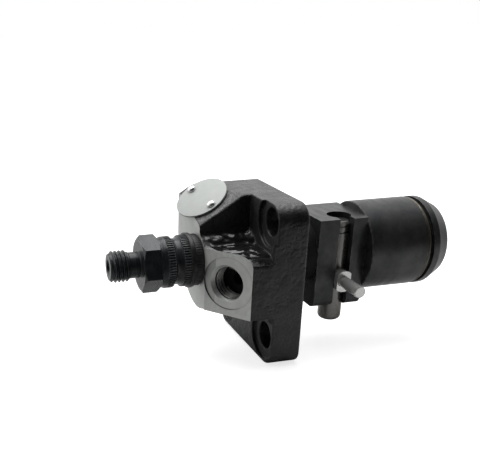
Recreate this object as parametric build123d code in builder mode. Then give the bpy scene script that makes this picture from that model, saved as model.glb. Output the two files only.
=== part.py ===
from build123d import *
import os
from math import acos, cos, pi, radians, sin, sqrt, tan

# A flange-mounted single-cylinder diesel injection pump.
# The pump axis is X: the high-pressure outlet points to -X and the roller tappet to +X.
# The origin is on the pump axis in the flange's mounting face, -Y is the inlet side, +Z is up.
# All sizes are millimetres.

# Flange
flange_half_width = 24.2
flange_top_z = 24.2
flange_bottom_z = -37.0
flange_thickness = 13.2
flange_seat_depth = 1.5
flange_near_corner = 7.0
flange_far_corner = 3.0
flange_foot_corner = 4.5
flange_edge_round = 1.0
flange_front_round = 2.0
bolt_hole_radius = 5.25
bolt_side_distance = 6.2
bolt_top_distance = 6.6
bolt_foot_distance = 10.6
bolt_seat_radius = 9.0

# Cast head
head_face_x = -33.2
head_radius = 19.0
core_radius = 10.4
boss_wall_y = -2.2
port_block_top_z = 7.0
port_block_bottom_z = -17.2
scoop_round = 2.5
port_block_round = 4.5
boss_edge_round = 1.5
boss_foot_z = 2.0
boss_foot_round = 2.0
boss_rim_round = 1.2

# Sloping seat of the round plate
plate_radius = 10.3
plate_thickness = 0.8
plate_center_x = -27.9
plate_center_y = 10.2
plate_center_z = 21.1
plate_normal = Vector(-0.517, -0.225, 0.826).normalized()
plate_seat_overrun = 2.0
rivet_spacing = 15.6
rivet_offset_along = 0.6
rivet_head_radius = 1.55
rivet_head_height = 1.0
rivet_shank_radius = 0.9
rivet_shank_length = 5.0

# Fuel inlet
pad_angle = 50.0
pad_edge_y = -9.3
port_angle = 56.0
port_center_x = -27.4
port_center_y = -17.0
port_center_z = -4.6
port_seat_radius = 10.0
port_mouth_radius = 7.4
port_bore_radius = 6.2
port_bore_length = 7.6
port_drill_radius = 2.5
port_drill_length = 18.0

# Bores of the head, from the outlet side
outlet_thread_radius = 8.0
outlet_thread_end_x = -25.0
barrel_seat_x = -17.5
barrel_fit_clearance = 0.02
gallery_radius = 9.0
gallery_start_x = -14.8
gallery_end_x = -9.0

# Delivery valve holder
holder_tip_x = -68.5
union_thread_radius = 6.0
union_thread_end_x = -61.0
union_tip_chamfer = 0.9
holder_neck_radius = 4.95
hex_across_flats = 19.0
hex_start_x = -57.4
hex_end_x = -50.0
hex_face_radius = 9.6
hex_chamfer = 1.0
hex_turn = 15.5
hex_corner_radius = 11.0
holder_under_hex_radius = 9.25
collar_radius = 9.8
collar_start_x = -49.0
collar_cone_length = 1.1
collar_end_x = -44.7
waist_step = 0.35
waist_bottom_x = -42.7
holder_waist_radius = 8.75
second_collar_start_x = -40.8
second_collar_end_x = -38.2
holder_bore_radius = 5.2
holder_bore_depth_x = -46.0
outlet_hole_radius = 1.5
outlet_cone_radius = 3.6
outlet_cone_depth = 3.4

# Rings between the holder and the head
seal_ring_radius = 10.5
seal_ring_end_x = -36.4
lock_ring_radius = 9.85
lock_ring_chamfer = 0.6

# Delivery valve
stem_clearance = 0.05
gasket_thickness = 1.0
gasket_bore_gap = 0.1
valve_seat_flange_length = 3.0
valve_seat_radius = 7.9
valve_seat_nose_radius = 4.9
valve_seat_nose_length = 5.0
valve_stem_radius = 2.5
valve_stem_clearance = 0.04
valve_head_radius = 3.9
valve_head_length = 3.5
valve_stem_length = 5.5
valve_spring_wire = 0.5
valve_spring_radius = 3.2
valve_spring_turns = 5
reducer_radius = 2.2
reducer_flange_radius = 5.1
reducer_flange_length = 1.5
reducer_end_x = -37.0

# Barrel and plunger
barrel_flange_radius = 7.9
barrel_radius = 7.0
barrel_end_x = 16.6
plunger_radius = 3.0
plunger_clearance = 0.02
plunger_top_x = -10.8
spill_port_radius = 1.1
spill_port_x = -12.2
spill_groove_offset = 3.2
spill_groove_width = 1.2
spill_groove_depth = 0.7
plunger_flat_half = 2.3
plunger_flat_start_x = 8.0
plunger_neck_radius = 2.2
plunger_neck_length = 2.2
plunger_foot_radius = 4.0
plunger_foot_length = 1.6
dowel_radius = 1.2
dowel_x = -3.0
dowel_inner_y = 5.8
dowel_end_gap = 0.3

# Steel guide body
spigot_length = 5.0
spigot_clearance = 0.02
neck_radius = 11.9
block_left_x = 10.6
block_right_x = 30.2
block_half_width = 12.0
block_top_z = 14.5
block_bottom_z = -20.6
block_foot_round = 3.0
guide_radius = 17.5
guide_length = 33.8
guide_chamfer_length = 5.2
guide_end_radius = 14.6
guide_shoulder_chamfer = 0.3
tappet_bore_mouth = 0.5
spring_chamber_radius = 9.5
spring_chamber_x = 28.0
tappet_bore_x = 31.0
tappet_bore_radius = 13.0
ring_groove_setback = 2.4
ring_groove_width = 2.6
ring_groove_radius = 16.2

# Rack and pinion
rack_x = 21.5
rack_y = -5.2
rack_radius = 4.5
rack_clearance = 0.05
rack_bottom_z = -28.0
rack_top_z = 12.5
rack_end_round = 1.8
rack_mark_upper_z = 11.2
rack_mark_lower_z = 8.8
rack_mark_width = 0.7
rack_mark_depth = 0.45
rack_slot_width = 5.8
tooth_module = 0.8
pinion_teeth = 14
pressure_angle = radians(20.0)
rack_addendum = 0.6
pinion_addendum = 0.75
tooth_root_gap = 0.25
tooth_backlash = 0.3
tooth_face_start_x = 18.1
tooth_face_end_x = 25.0
rack_teeth_below = 6
rack_teeth_above = 3
rack_cut_below_z = -15.6
rack_cut_above_z = 10.4
pinion_journal_radius = 4.4
pinion_journal_start_x = 12.9
pinion_end_x = 27.7
journal_clearance = 0.05
journal_end_gap = 0.3
key_clearance = 0.06

# Rack pin and its square-sided collar
pin_z = -9.8
pin_radius = 2.25
pin_end_y = -25.9
pin_root_y = -7.2
pin_shank_radius = 1.8
pin_shoulder_gap = 0.4
pin_end_chamfer = 0.3
collar_disc_radius = 4.2
collar_half_width = 2.8
collar_front_y = -14.0
collar_back_y = -9.0

# Spring and seats
upper_seat_radius = 9.2
upper_seat_hole_radius = 4.9
upper_seat_length = 2.0
plunger_spring_end_x = 45.0
plunger_spring_radius = 7.6
plunger_spring_wire = 0.9
plunger_spring_turns = 3.25
lower_seat_radius = 10.1
lower_seat_length = 1.6
lower_seat_hub_radius = 6.0
foot_clearance = 0.1
neck_clearance = 0.3
shim_radius = 6.0
shim_thickness = 1.0

# Roller tappet
tappet_clearance = 0.05
tappet_skirt_x = 40.0
tappet_skirt_bore = 10.4
tappet_floor_thickness = 3.6
tappet_fork_length = 11.9
tappet_end_chamfer = 0.5
roller_setback = 4.6
roller_radius = 5.6
roller_half_width = 4.4
roller_slot_half_width = 4.7
bush_radius = 3.5
bush_clearance = 0.05
roller_pin_radius = 2.5
roller_pin_half_length = 11.9
guide_pin_radius = 1.5
guide_pin_inner = 11.4
guide_pin_angle = -45.0
guide_slot_clearance = 0.1
guide_slot_radius = 10.9

# Wire ring that holds the guide pin
wire_ring_radius = 0.6
wire_ring_side_gap = 0.2
wire_ring_gap_angle = 14.0

# Places that follow from the sizes above
spill_groove_x = plunger_top_x + spill_groove_offset
guide_pin_outer = ring_groove_radius - guide_slot_clearance
flange_front_x = -flange_thickness
bolt_seat_x = flange_front_x + flange_seat_depth
bolt_hole_y = flange_half_width - bolt_side_distance
bolt_hole_upper_z = flange_top_z - bolt_top_distance
bolt_hole_lower_z = flange_bottom_z + bolt_foot_distance
boss_foot_width = flange_half_width - sqrt(head_radius ** 2 - boss_foot_z ** 2)
boss_foot_corner = min(boss_foot_round, 0.45 * boss_foot_width)
plate_center = Vector(plate_center_x, plate_center_y, plate_center_z)
port_center = Vector(port_center_x, port_center_y, port_center_z)
flange_middle_z = (flange_top_z + flange_bottom_z) / 2
tappet_radius = tappet_bore_radius - tappet_clearance
gasket_start_x = outlet_thread_end_x
valve_seat_start_x = gasket_start_x + gasket_thickness
barrel_top_x = valve_seat_start_x + valve_seat_flange_length
valve_seat_nose_x = valve_seat_start_x - valve_seat_nose_length
lower_seat_x = plunger_spring_end_x
lower_seat_recess_x = lower_seat_x + lower_seat_length
foot_start_x = lower_seat_recess_x + foot_clearance
foot_end_x = foot_start_x + plunger_foot_length
plunger_neck_start_x = foot_start_x - plunger_neck_length
shim_x = foot_end_x
tappet_floor_x = shim_x + shim_thickness
tappet_fork_x = tappet_floor_x + tappet_floor_thickness
tappet_end_x = tappet_fork_x + tappet_fork_length
roller_x = tappet_end_x - roller_setback
guide_end_x = block_right_x + guide_length
guide_chamfer_start_x = guide_end_x - guide_chamfer_length
ring_groove_end_x = guide_chamfer_start_x - ring_groove_setback
ring_groove_start_x = ring_groove_end_x - ring_groove_width
wire_ring_x = ring_groove_start_x + wire_ring_side_gap + wire_ring_radius
pitch_radius = tooth_module * pinion_teeth / 2
pinion_tip_radius = pitch_radius + pinion_addendum
pinion_root_radius = pitch_radius - rack_addendum - tooth_root_gap
pinion_base_radius = pitch_radius * cos(pressure_angle)
rack_pitch = pi * tooth_module
rack_tip_y = -(pitch_radius - rack_addendum)
rack_root_y = -(pitch_radius + pinion_addendum + tooth_root_gap)
rack_bore_radius = rack_radius + rack_clearance
plunger_bore_radius = plunger_radius + plunger_clearance


def plane_at(x):
    """The plane across the pump axis at x, with Y and Z as its own axes."""
    return Plane.YZ.offset(x)


def turned_profile(points):
    """The half profile of a turned piece, given as x and radius, in a plane through the pump axis."""
    with BuildSketch(Plane.XZ) as profile:
        with BuildLine():
            Polyline(points, close=True)
        make_face()
    return profile.sketch


# Planes of the sloping plate seat, of the two radial pins and of the fuel inlet
plate_plane = Plane(origin=plate_center, x_dir=Vector(0, 1, 0).cross(plate_normal), z_dir=plate_normal)
plate_seat_plane = plate_plane.offset(-plate_thickness)
dowel_plane = Plane(origin=(0, dowel_inner_y, 0), x_dir=(1, 0, 0), z_dir=(0, 1, 0))
guide_pin_plane = Plane(origin=(wire_ring_x, 0, 0), x_dir=(1, 0, 0),
                        z_dir=(0, cos(radians(guide_pin_angle)), sin(radians(guide_pin_angle))))
pad_normal = Vector(-sin(radians(pad_angle)), -cos(radians(pad_angle)), 0)
pad_plane = Plane(origin=(head_face_x, pad_edge_y, port_center.Z), x_dir=(0, 0, 1), z_dir=pad_normal)
port_normal = Vector(-sin(radians(port_angle)), -cos(radians(port_angle)), 0)
port_plane = Plane(origin=port_center, x_dir=(0, 0, 1), z_dir=port_normal)


# Cast head and mounting flange, one casting
with BuildPart() as pump_housing:
    with BuildSketch(plane_at(flange_front_x)) as flange_outline:
        with Locations((0, flange_middle_z)):
            Rectangle(2 * flange_half_width, flange_top_z - flange_bottom_z)
        upper_corners = flange_outline.vertices().group_by(Axis.Y)[-1].sort_by(Axis.X)
        fillet(upper_corners[0], flange_near_corner)
        fillet(flange_outline.vertices().sort_by_distance((flange_half_width, flange_top_z, 0))[0],
               flange_far_corner)
        fillet(flange_outline.vertices().group_by(Axis.Y)[0], flange_foot_corner)
    extrude(amount=flange_thickness)

    # The head's outline: a round belly, a plate boss flush with the flange top, and an inlet block
    # flush with the flange side, with a scoop between boss and block down to the core
    with BuildSketch(plane_at(head_face_x)) as head_outline:
        Circle(head_radius)
        with Locations((boss_wall_y, port_block_top_z)):
            Rectangle(2 * head_radius, 2 * head_radius, align=(Align.MAX, Align.MIN), mode=Mode.SUBTRACT)
        Circle(core_radius)
        with Locations((boss_wall_y, boss_foot_z)):
            Rectangle(flange_half_width - boss_wall_y, flange_top_z - boss_foot_z, align=(Align.MIN, Align.MIN))
        with Locations((-flange_half_width, port_block_bottom_z)):
            Rectangle(flange_half_width, port_block_top_z - port_block_bottom_z, align=(Align.MIN, Align.MIN))
        core_corner_y = -sqrt(core_radius ** 2 - port_block_top_z ** 2)
        core_corner_z = sqrt(core_radius ** 2 - boss_wall_y ** 2)
        fillet(head_outline.vertices().sort_by_distance((boss_wall_y, core_corner_z, 0))[0], scoop_round)
        fillet(head_outline.vertices().sort_by_distance((core_corner_y, port_block_top_z, 0))[0], scoop_round)
        fillet(head_outline.vertices().sort_by_distance((-flange_half_width, port_block_top_z, 0))[0],
               port_block_round)
        fillet(head_outline.vertices().sort_by_distance((flange_half_width, flange_top_z, 0))[0],
               flange_far_corner)
        fillet(head_outline.vertices().sort_by_distance((boss_wall_y, flange_top_z, 0))[0], boss_edge_round)
        fillet(head_outline.vertices().sort_by_distance((flange_half_width, boss_foot_z, 0))[0], boss_foot_corner)
        fillet(head_outline.vertices().sort_by_distance((head_radius, boss_foot_z, 0))[0], boss_foot_corner)
    extrude(amount=flange_front_x - head_face_x)

    # Rounded edges of the flange: all round its back, and more on the foot of its front
    fillet(pump_housing.edges().filter_by_position(Axis.X, 0, 0), flange_edge_round)
    front_edges = pump_housing.edges().filter_by_position(Axis.X, flange_front_x, flange_front_x)
    outer_edges = front_edges.filter_by(
        lambda edge: edge.center().Z < port_block_bottom_z + flange_front_round
        and (abs(edge.center().Y) > head_radius or edge.center().Z < -head_radius))
    far_edges = front_edges.filter_by(
        lambda edge: edge.center().Y > flange_half_width - flange_front_round
        and edge.center().Z < boss_foot_z)
    fillet(outer_edges + far_edges, flange_front_round)

    # Concave blend of the scoop's core into the flange
    with BuildSketch(Plane.XZ):
        with BuildLine():
            Polyline((flange_front_x - scoop_round, core_radius), (flange_front_x, core_radius - 1),
                     (flange_front_x, core_radius + scoop_round))
            RadiusArc((flange_front_x, core_radius + scoop_round), (flange_front_x - scoop_round, core_radius),
                      scoop_round)
        make_face()
    revolve(axis=Axis.X)

    # Sloping face under the plate, and the inlet pad with its counterbored port
    with BuildSketch(plate_seat_plane):
        with Locations((0, boss_wall_y - plate_center_y - plate_seat_overrun)):
            Rectangle(4 * plate_radius, flange_half_width - boss_wall_y + 2 * plate_seat_overrun,
                      align=(Align.CENTER, Align.MIN))
    extrude(amount=3 * plate_radius, mode=Mode.SUBTRACT)
    rim_edges = pump_housing.edges().filter_by(GeomType.LINE).filter_by(
        lambda edge: abs(plate_seat_plane.to_local_coords(edge.center()).Z) < 0.01
        and abs(edge.center().Y - boss_wall_y) < 0.01)
    fillet(rim_edges, boss_rim_round)
    with BuildSketch(plate_seat_plane):
        with Locations((rivet_offset_along, -rivet_spacing / 2), (rivet_offset_along, rivet_spacing / 2)):
            Circle(rivet_shank_radius)
    extrude(amount=plate_thickness - rivet_shank_length, mode=Mode.SUBTRACT)
    with BuildSketch(pad_plane):
        Rectangle(4 * port_seat_radius, 8 * port_seat_radius)
    extrude(amount=2 * port_seat_radius, mode=Mode.SUBTRACT)
    with BuildSketch(port_plane):
        Circle(port_seat_radius)
    extrude(amount=2 * port_seat_radius, mode=Mode.SUBTRACT)
    with BuildSketch(port_plane):
        Circle(port_bore_radius)
    extrude(amount=-port_bore_length, mode=Mode.SUBTRACT)
    with BuildSketch(port_plane):
        Circle(port_mouth_radius)
    extrude(amount=-(port_mouth_radius - port_bore_radius), taper=45, mode=Mode.SUBTRACT)
    with BuildSketch(port_plane):
        Circle(port_drill_radius)
    extrude(amount=-port_drill_length, mode=Mode.SUBTRACT)

    # Bolt holes with round nut seats that break out of the flange edge
    with BuildSketch(plane_at(bolt_seat_x)):
        with Locations((-bolt_hole_y, bolt_hole_upper_z), (-bolt_hole_y, bolt_hole_lower_z),
                       (bolt_hole_y, bolt_hole_lower_z)):
            Circle(bolt_seat_radius)
    extrude(amount=head_face_x - bolt_seat_x, mode=Mode.SUBTRACT)
    with BuildSketch(plane_at(0)):
        with Locations((-bolt_hole_y, bolt_hole_upper_z), (-bolt_hole_y, bolt_hole_lower_z),
                       (bolt_hole_y, bolt_hole_lower_z)):
            Circle(bolt_hole_radius)
    extrude(amount=-flange_thickness, mode=Mode.SUBTRACT)

    # Stepped bore with the fuel gallery round the barrel
    revolve(turned_profile([
        (head_face_x, 0),
        (head_face_x, outlet_thread_radius),
        (barrel_seat_x, outlet_thread_radius),
        (barrel_seat_x, barrel_radius + barrel_fit_clearance),
        (gallery_start_x, barrel_radius + barrel_fit_clearance),
        (gallery_start_x, gallery_radius),
        (gallery_end_x, gallery_radius),
        (gallery_end_x, barrel_radius + barrel_fit_clearance),
        (-spigot_length, barrel_radius + barrel_fit_clearance),
        (-spigot_length, neck_radius + spigot_clearance),
        (0, neck_radius + spigot_clearance),
        (0, 0),
    ]), axis=Axis.X, mode=Mode.SUBTRACT)
pump_housing.part.label = "pump_housing"


# Round plate on the sloping boss and its two rivets
with BuildPart() as name_plate:
    with BuildSketch(plate_seat_plane):
        Circle(plate_radius)
        with Locations((rivet_offset_along, -rivet_spacing / 2), (rivet_offset_along, rivet_spacing / 2)):
            Circle(rivet_shank_radius, mode=Mode.SUBTRACT)
    extrude(amount=plate_thickness)
name_plate.part.label = "name_plate"

with BuildPart() as plate_rivets:
    dome_radius = (rivet_head_radius ** 2 + rivet_head_height ** 2) / (2 * rivet_head_height)
    for side in (-1, 1):
        rivet_plane = Plane(
            origin=plate_plane.from_local_coords((rivet_offset_along, side * rivet_spacing / 2, 0)),
            x_dir=plate_plane.x_dir, z_dir=plate_normal)
        with BuildSketch(Plane(origin=rivet_plane.origin, x_dir=rivet_plane.x_dir,
                               z_dir=-rivet_plane.y_dir)):
            with BuildLine():
                Polyline((0, rivet_head_height), (0, -rivet_shank_length), (rivet_shank_radius, -rivet_shank_length),
                         (rivet_shank_radius, 0), (rivet_head_radius, 0))
                RadiusArc((rivet_head_radius, 0), (0, rivet_head_height), -dome_radius)
            make_face()
        revolve(axis=Axis(rivet_plane.origin, plate_normal))
plate_rivets.part.label = "plate_rivets"


# Steel guide body: spigot, neck, block with the rack bore, and the tappet's guide cylinder
with BuildPart() as guide_body:
    with BuildSketch(plane_at(block_left_x)) as block_outline:
        with Locations((0, (block_top_z + block_bottom_z) / 2)):
            Rectangle(2 * block_half_width, block_top_z - block_bottom_z)
        fillet(block_outline.vertices().group_by(Axis.Y)[0], block_foot_round)
    extrude(amount=block_right_x - block_left_x)
    revolve(turned_profile([
        (-spigot_length, 0),
        (-spigot_length, neck_radius),
        (block_left_x, neck_radius),
        (block_left_x, neck_radius / 2),
        (block_right_x, neck_radius / 2),
        (block_right_x, guide_radius - guide_shoulder_chamfer),
        (block_right_x + guide_shoulder_chamfer, guide_radius),
        (ring_groove_start_x, guide_radius),
        (ring_groove_start_x, ring_groove_radius),
        (ring_groove_end_x, ring_groove_radius),
        (ring_groove_end_x, guide_radius),
        (guide_chamfer_start_x, guide_radius),
        (guide_end_x, guide_end_radius),
        (guide_end_x, 0),
    ]), axis=Axis.X)
    revolve(turned_profile([
        (-spigot_length, 0),
        (-spigot_length, barrel_radius + barrel_fit_clearance),
        (spring_chamber_x, barrel_radius + barrel_fit_clearance),
        (spring_chamber_x, spring_chamber_radius),
        (tappet_bore_x, spring_chamber_radius),
        (tappet_bore_x, tappet_bore_radius),
        (guide_end_x - tappet_bore_mouth, tappet_bore_radius),
        (guide_end_x, tappet_bore_radius + tappet_bore_mouth),
        (guide_end_x, 0),
    ]), axis=Axis.X, mode=Mode.SUBTRACT)

    # Rack bore right through the block, and the slot in which the rack's pin travels
    with BuildSketch(Plane.XY.offset(block_bottom_z)):
        with Locations((rack_x, rack_y)):
            Circle(rack_bore_radius)
    extrude(amount=block_top_z - block_bottom_z, mode=Mode.SUBTRACT)
    with BuildSketch(Plane.XY.offset(block_bottom_z)):
        with Locations((rack_x, rack_y)):
            Rectangle(rack_slot_width, block_half_width, align=(Align.CENTER, Align.MAX))
    extrude(amount=block_top_z - block_bottom_z, mode=Mode.SUBTRACT)

    # Radial hole for the tappet's guide pin, under the wire ring's groove
    with BuildSketch(guide_pin_plane):
        Circle(guide_pin_radius)
    extrude(amount=guide_radius, mode=Mode.SUBTRACT)

    # Hole for the pin that stops the barrel turning
    with BuildSketch(dowel_plane):
        with Locations((dowel_x, 0)):
            Circle(dowel_radius)
    extrude(amount=neck_radius - dowel_inner_y, mode=Mode.SUBTRACT)
guide_body.part.label = "guide_body"


# Delivery valve holder: union thread, hexagon, two serrated collars and the screwed-in stem
with BuildPart() as holder_hexagon:
    with BuildSketch(plane_at(hex_start_x)):
        RegularPolygon(hex_across_flats / 2, 6, major_radius=False, rotation=hex_turn)
        Circle(holder_bore_radius, mode=Mode.SUBTRACT)
    extrude(amount=hex_end_x - hex_start_x)
    revolve(turned_profile([
        (hex_start_x, 0),
        (hex_start_x, hex_face_radius),
        (hex_start_x + hex_chamfer, hex_corner_radius),
        (hex_end_x - hex_chamfer, hex_corner_radius),
        (hex_end_x, hex_face_radius),
        (hex_end_x, 0),
    ]), axis=Axis.X, mode=Mode.INTERSECT)

with BuildPart() as delivery_valve_holder:
    revolve(turned_profile([
        (holder_tip_x, outlet_cone_radius),
        (holder_tip_x, union_thread_radius - union_tip_chamfer),
        (holder_tip_x + union_tip_chamfer, union_thread_radius),
        (union_thread_end_x, union_thread_radius),
        (union_thread_end_x + union_tip_chamfer, holder_neck_radius),
        (hex_start_x, holder_neck_radius),
        (hex_start_x, holder_under_hex_radius),
        (collar_start_x, holder_under_hex_radius),
        (collar_start_x + collar_cone_length, collar_radius),
        (collar_end_x, collar_radius),
        (collar_end_x, collar_radius - waist_step),
        (waist_bottom_x, holder_waist_radius),
        (second_collar_start_x, collar_radius - waist_step),
        (second_collar_start_x, collar_radius),
        (second_collar_end_x, collar_radius),
        (second_collar_end_x, outlet_thread_radius - stem_clearance),
        (outlet_thread_end_x, outlet_thread_radius - stem_clearance),
        (outlet_thread_end_x, holder_bore_radius),
        (holder_bore_depth_x, holder_bore_radius),
        (holder_bore_depth_x, outlet_hole_radius),
        (holder_tip_x + outlet_cone_depth, outlet_hole_radius),
    ]), axis=Axis.X)
    add(holder_hexagon.part)
delivery_valve_holder.part.label = "delivery_valve_holder"

with BuildPart() as holder_seal_ring:
    revolve(turned_profile([
        (second_collar_end_x, outlet_thread_radius),
        (second_collar_end_x, seal_ring_radius),
        (seal_ring_end_x, seal_ring_radius),
        (seal_ring_end_x, outlet_thread_radius),
    ]), axis=Axis.X)
holder_seal_ring.part.label = "holder_seal_ring"

with BuildPart() as holder_lock_ring:
    revolve(turned_profile([
        (seal_ring_end_x, outlet_thread_radius),
        (seal_ring_end_x, lock_ring_radius),
        (head_face_x - lock_ring_chamfer, lock_ring_radius),
        (head_face_x, lock_ring_radius - lock_ring_chamfer),
        (head_face_x, outlet_thread_radius),
    ]), axis=Axis.X)
holder_lock_ring.part.label = "holder_lock_ring"


# Delivery valve set inside the holder
with BuildPart() as delivery_valve_gasket:
    revolve(turned_profile([
        (gasket_start_x, holder_bore_radius + gasket_bore_gap),
        (gasket_start_x, valve_seat_radius),
        (valve_seat_start_x, valve_seat_radius),
        (valve_seat_start_x, holder_bore_radius + gasket_bore_gap),
    ]), axis=Axis.X)
delivery_valve_gasket.part.label = "delivery_valve_gasket"

with BuildPart() as delivery_valve_seat:
    revolve(turned_profile([
        (valve_seat_nose_x, valve_stem_radius),
        (valve_seat_nose_x, valve_seat_nose_radius),
        (valve_seat_start_x, valve_seat_nose_radius),
        (valve_seat_start_x, valve_seat_radius),
        (barrel_top_x, valve_seat_radius),
        (barrel_top_x, valve_stem_radius),
    ]), axis=Axis.X)
delivery_valve_seat.part.label = "delivery_valve_seat"

with BuildPart() as delivery_valve:
    revolve(turned_profile([
        (valve_seat_nose_x - valve_head_length, 0),
        (valve_seat_nose_x - valve_head_length, valve_head_radius),
        (valve_seat_nose_x, valve_head_radius),
        (valve_seat_nose_x, valve_stem_radius - valve_stem_clearance),
        (valve_seat_nose_x + valve_stem_length, valve_stem_radius - valve_stem_clearance),
        (valve_seat_nose_x + valve_stem_length, 0),
    ]), axis=Axis.X)
delivery_valve.part.label = "delivery_valve"

with BuildPart() as delivery_valve_spring:
    valve_spring_start_x = holder_bore_depth_x + reducer_flange_length + valve_spring_wire
    valve_spring_stop_x = valve_seat_nose_x - valve_head_length - valve_spring_wire
    valve_spring_length = valve_spring_stop_x - valve_spring_start_x
    with BuildLine() as valve_coil:
        Helix(pitch=valve_spring_length / valve_spring_turns, height=valve_spring_length,
              radius=valve_spring_radius, center=(valve_spring_start_x, 0, 0), direction=(1, 0, 0))
    with BuildSketch(Plane(origin=valve_coil.line @ 0, z_dir=valve_coil.line % 0)):
        Circle(valve_spring_wire)
    sweep()
delivery_valve_spring.part.label = "delivery_valve_spring"

with BuildPart() as volume_reducer:
    revolve(turned_profile([
        (holder_bore_depth_x, outlet_hole_radius),
        (holder_bore_depth_x, reducer_flange_radius),
        (holder_bore_depth_x + reducer_flange_length, reducer_flange_radius),
        (holder_bore_depth_x + reducer_flange_length, reducer_radius),
        (reducer_end_x, reducer_radius),
        (reducer_end_x, outlet_hole_radius),
    ]), axis=Axis.X)
volume_reducer.part.label = "volume_reducer"


# Pumping element
with BuildPart() as barrel:
    revolve(turned_profile([
        (barrel_top_x, plunger_bore_radius),
        (barrel_top_x, barrel_flange_radius),
        (barrel_seat_x, barrel_flange_radius),
        (barrel_seat_x, barrel_radius),
        (barrel_end_x, barrel_radius),
        (barrel_end_x, pinion_journal_radius + journal_clearance),
        (pinion_journal_start_x - journal_end_gap, pinion_journal_radius + journal_clearance),
        (pinion_journal_start_x - journal_end_gap, plunger_bore_radius),
    ]), axis=Axis.X)
    with BuildSketch(Plane.XZ):
        with Locations((spill_port_x, 0)):
            Circle(spill_port_radius)
    extrude(amount=barrel_radius, both=True, mode=Mode.SUBTRACT)
    with BuildSketch(dowel_plane):
        with Locations((dowel_x, 0)):
            Circle(dowel_radius)
    extrude(amount=barrel_radius - dowel_inner_y, mode=Mode.SUBTRACT)
barrel.part.label = "barrel"

with BuildPart() as barrel_locating_pin:
    with BuildSketch(dowel_plane):
        with Locations((dowel_x, 0)):
            Circle(dowel_radius)
    extrude(amount=neck_radius - dowel_end_gap - dowel_inner_y)
barrel_locating_pin.part.label = "barrel_locating_pin"

with BuildPart() as plunger:
    revolve(turned_profile([
        (plunger_top_x, 0),
        (plunger_top_x, plunger_radius),
        (plunger_neck_start_x, plunger_radius),
        (plunger_neck_start_x, plunger_neck_radius),
        (foot_start_x, plunger_neck_radius),
        (foot_start_x, plunger_foot_radius),
        (foot_end_x, plunger_foot_radius),
        (foot_end_x, 0),
    ]), axis=Axis.X)
    # Metering edge: an annular groove and the slot that joins it to the top
    revolve(turned_profile([
        (spill_groove_x, plunger_radius - spill_groove_depth),
        (spill_groove_x, plunger_radius + 1),
        (spill_groove_x + spill_groove_width, plunger_radius + 1),
        (spill_groove_x + spill_groove_width, plunger_radius - spill_groove_depth),
    ]), axis=Axis.X, mode=Mode.SUBTRACT)
    with BuildSketch(Plane.XZ.offset(plunger_radius)):
        with Locations((plunger_top_x, 0)):
            Rectangle(spill_groove_x - plunger_top_x, spill_groove_width, align=(Align.MIN, Align.CENTER))
    extrude(amount=-spill_groove_depth, mode=Mode.SUBTRACT)
    # Two flats by which the pinion turns the plunger
    with BuildSketch(Plane.XY):
        with Locations((plunger_flat_start_x, plunger_flat_half),
                       (plunger_flat_start_x, -plunger_flat_half - plunger_radius)):
            Rectangle(plunger_neck_start_x - plunger_flat_start_x, plunger_radius, align=(Align.MIN, Align.MIN))
    extrude(amount=plunger_radius, both=True, mode=Mode.SUBTRACT)
plunger.part.label = "plunger"


# Control rack with its pin, and the pinion that turns the plunger
def involute_angle(radius):
    """The involute function at a radius of the pinion's tooth flank."""
    pressure = acos(min(1.0, pinion_base_radius / radius))
    return tan(pressure) - pressure


def tooth_half_angle(radius):
    """Half of the angle that a pinion tooth takes up at a radius."""
    at_pitch = (rack_pitch - tooth_backlash) / (4 * pitch_radius)
    return at_pitch + involute_angle(pitch_radius) - involute_angle(radius)


with BuildPart() as control_pinion:
    flank_radii = [pinion_base_radius + (pinion_tip_radius - pinion_base_radius) * step / 4 for step in range(5)]
    upper_flank = [(radius * cos(tooth_half_angle(radius)), radius * sin(tooth_half_angle(radius)))
                   for radius in flank_radii]
    tooth_foot = pinion_root_radius - tooth_root_gap
    foot_half_angle = tooth_half_angle(pinion_base_radius)
    foot_point = (tooth_foot * cos(foot_half_angle), tooth_foot * sin(foot_half_angle))
    half_outline = [foot_point] + upper_flank
    tooth_outline = half_outline + [(across, -up) for across, up in reversed(half_outline)]
    with BuildSketch(plane_at(tooth_face_start_x)):
        Circle(pinion_root_radius)
        first_tooth_angle = 180.0 + 180.0 / pinion_teeth
        with PolarLocations(0, pinion_teeth, start_angle=first_tooth_angle):
            Polygon(tooth_outline, align=None)
    extrude(amount=tooth_face_end_x - tooth_face_start_x)
    with BuildSketch(plane_at(pinion_journal_start_x)):
        Circle(pinion_journal_radius)
    extrude(amount=pinion_end_x - pinion_journal_start_x)
    with BuildSketch(plane_at(pinion_journal_start_x)):
        Circle(plunger_bore_radius)
        Rectangle(2 * (plunger_flat_half + key_clearance), 2 * plunger_bore_radius, mode=Mode.INTERSECT)
    extrude(amount=pinion_end_x - pinion_journal_start_x, mode=Mode.SUBTRACT)
control_pinion.part.label = "control_pinion"

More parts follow.
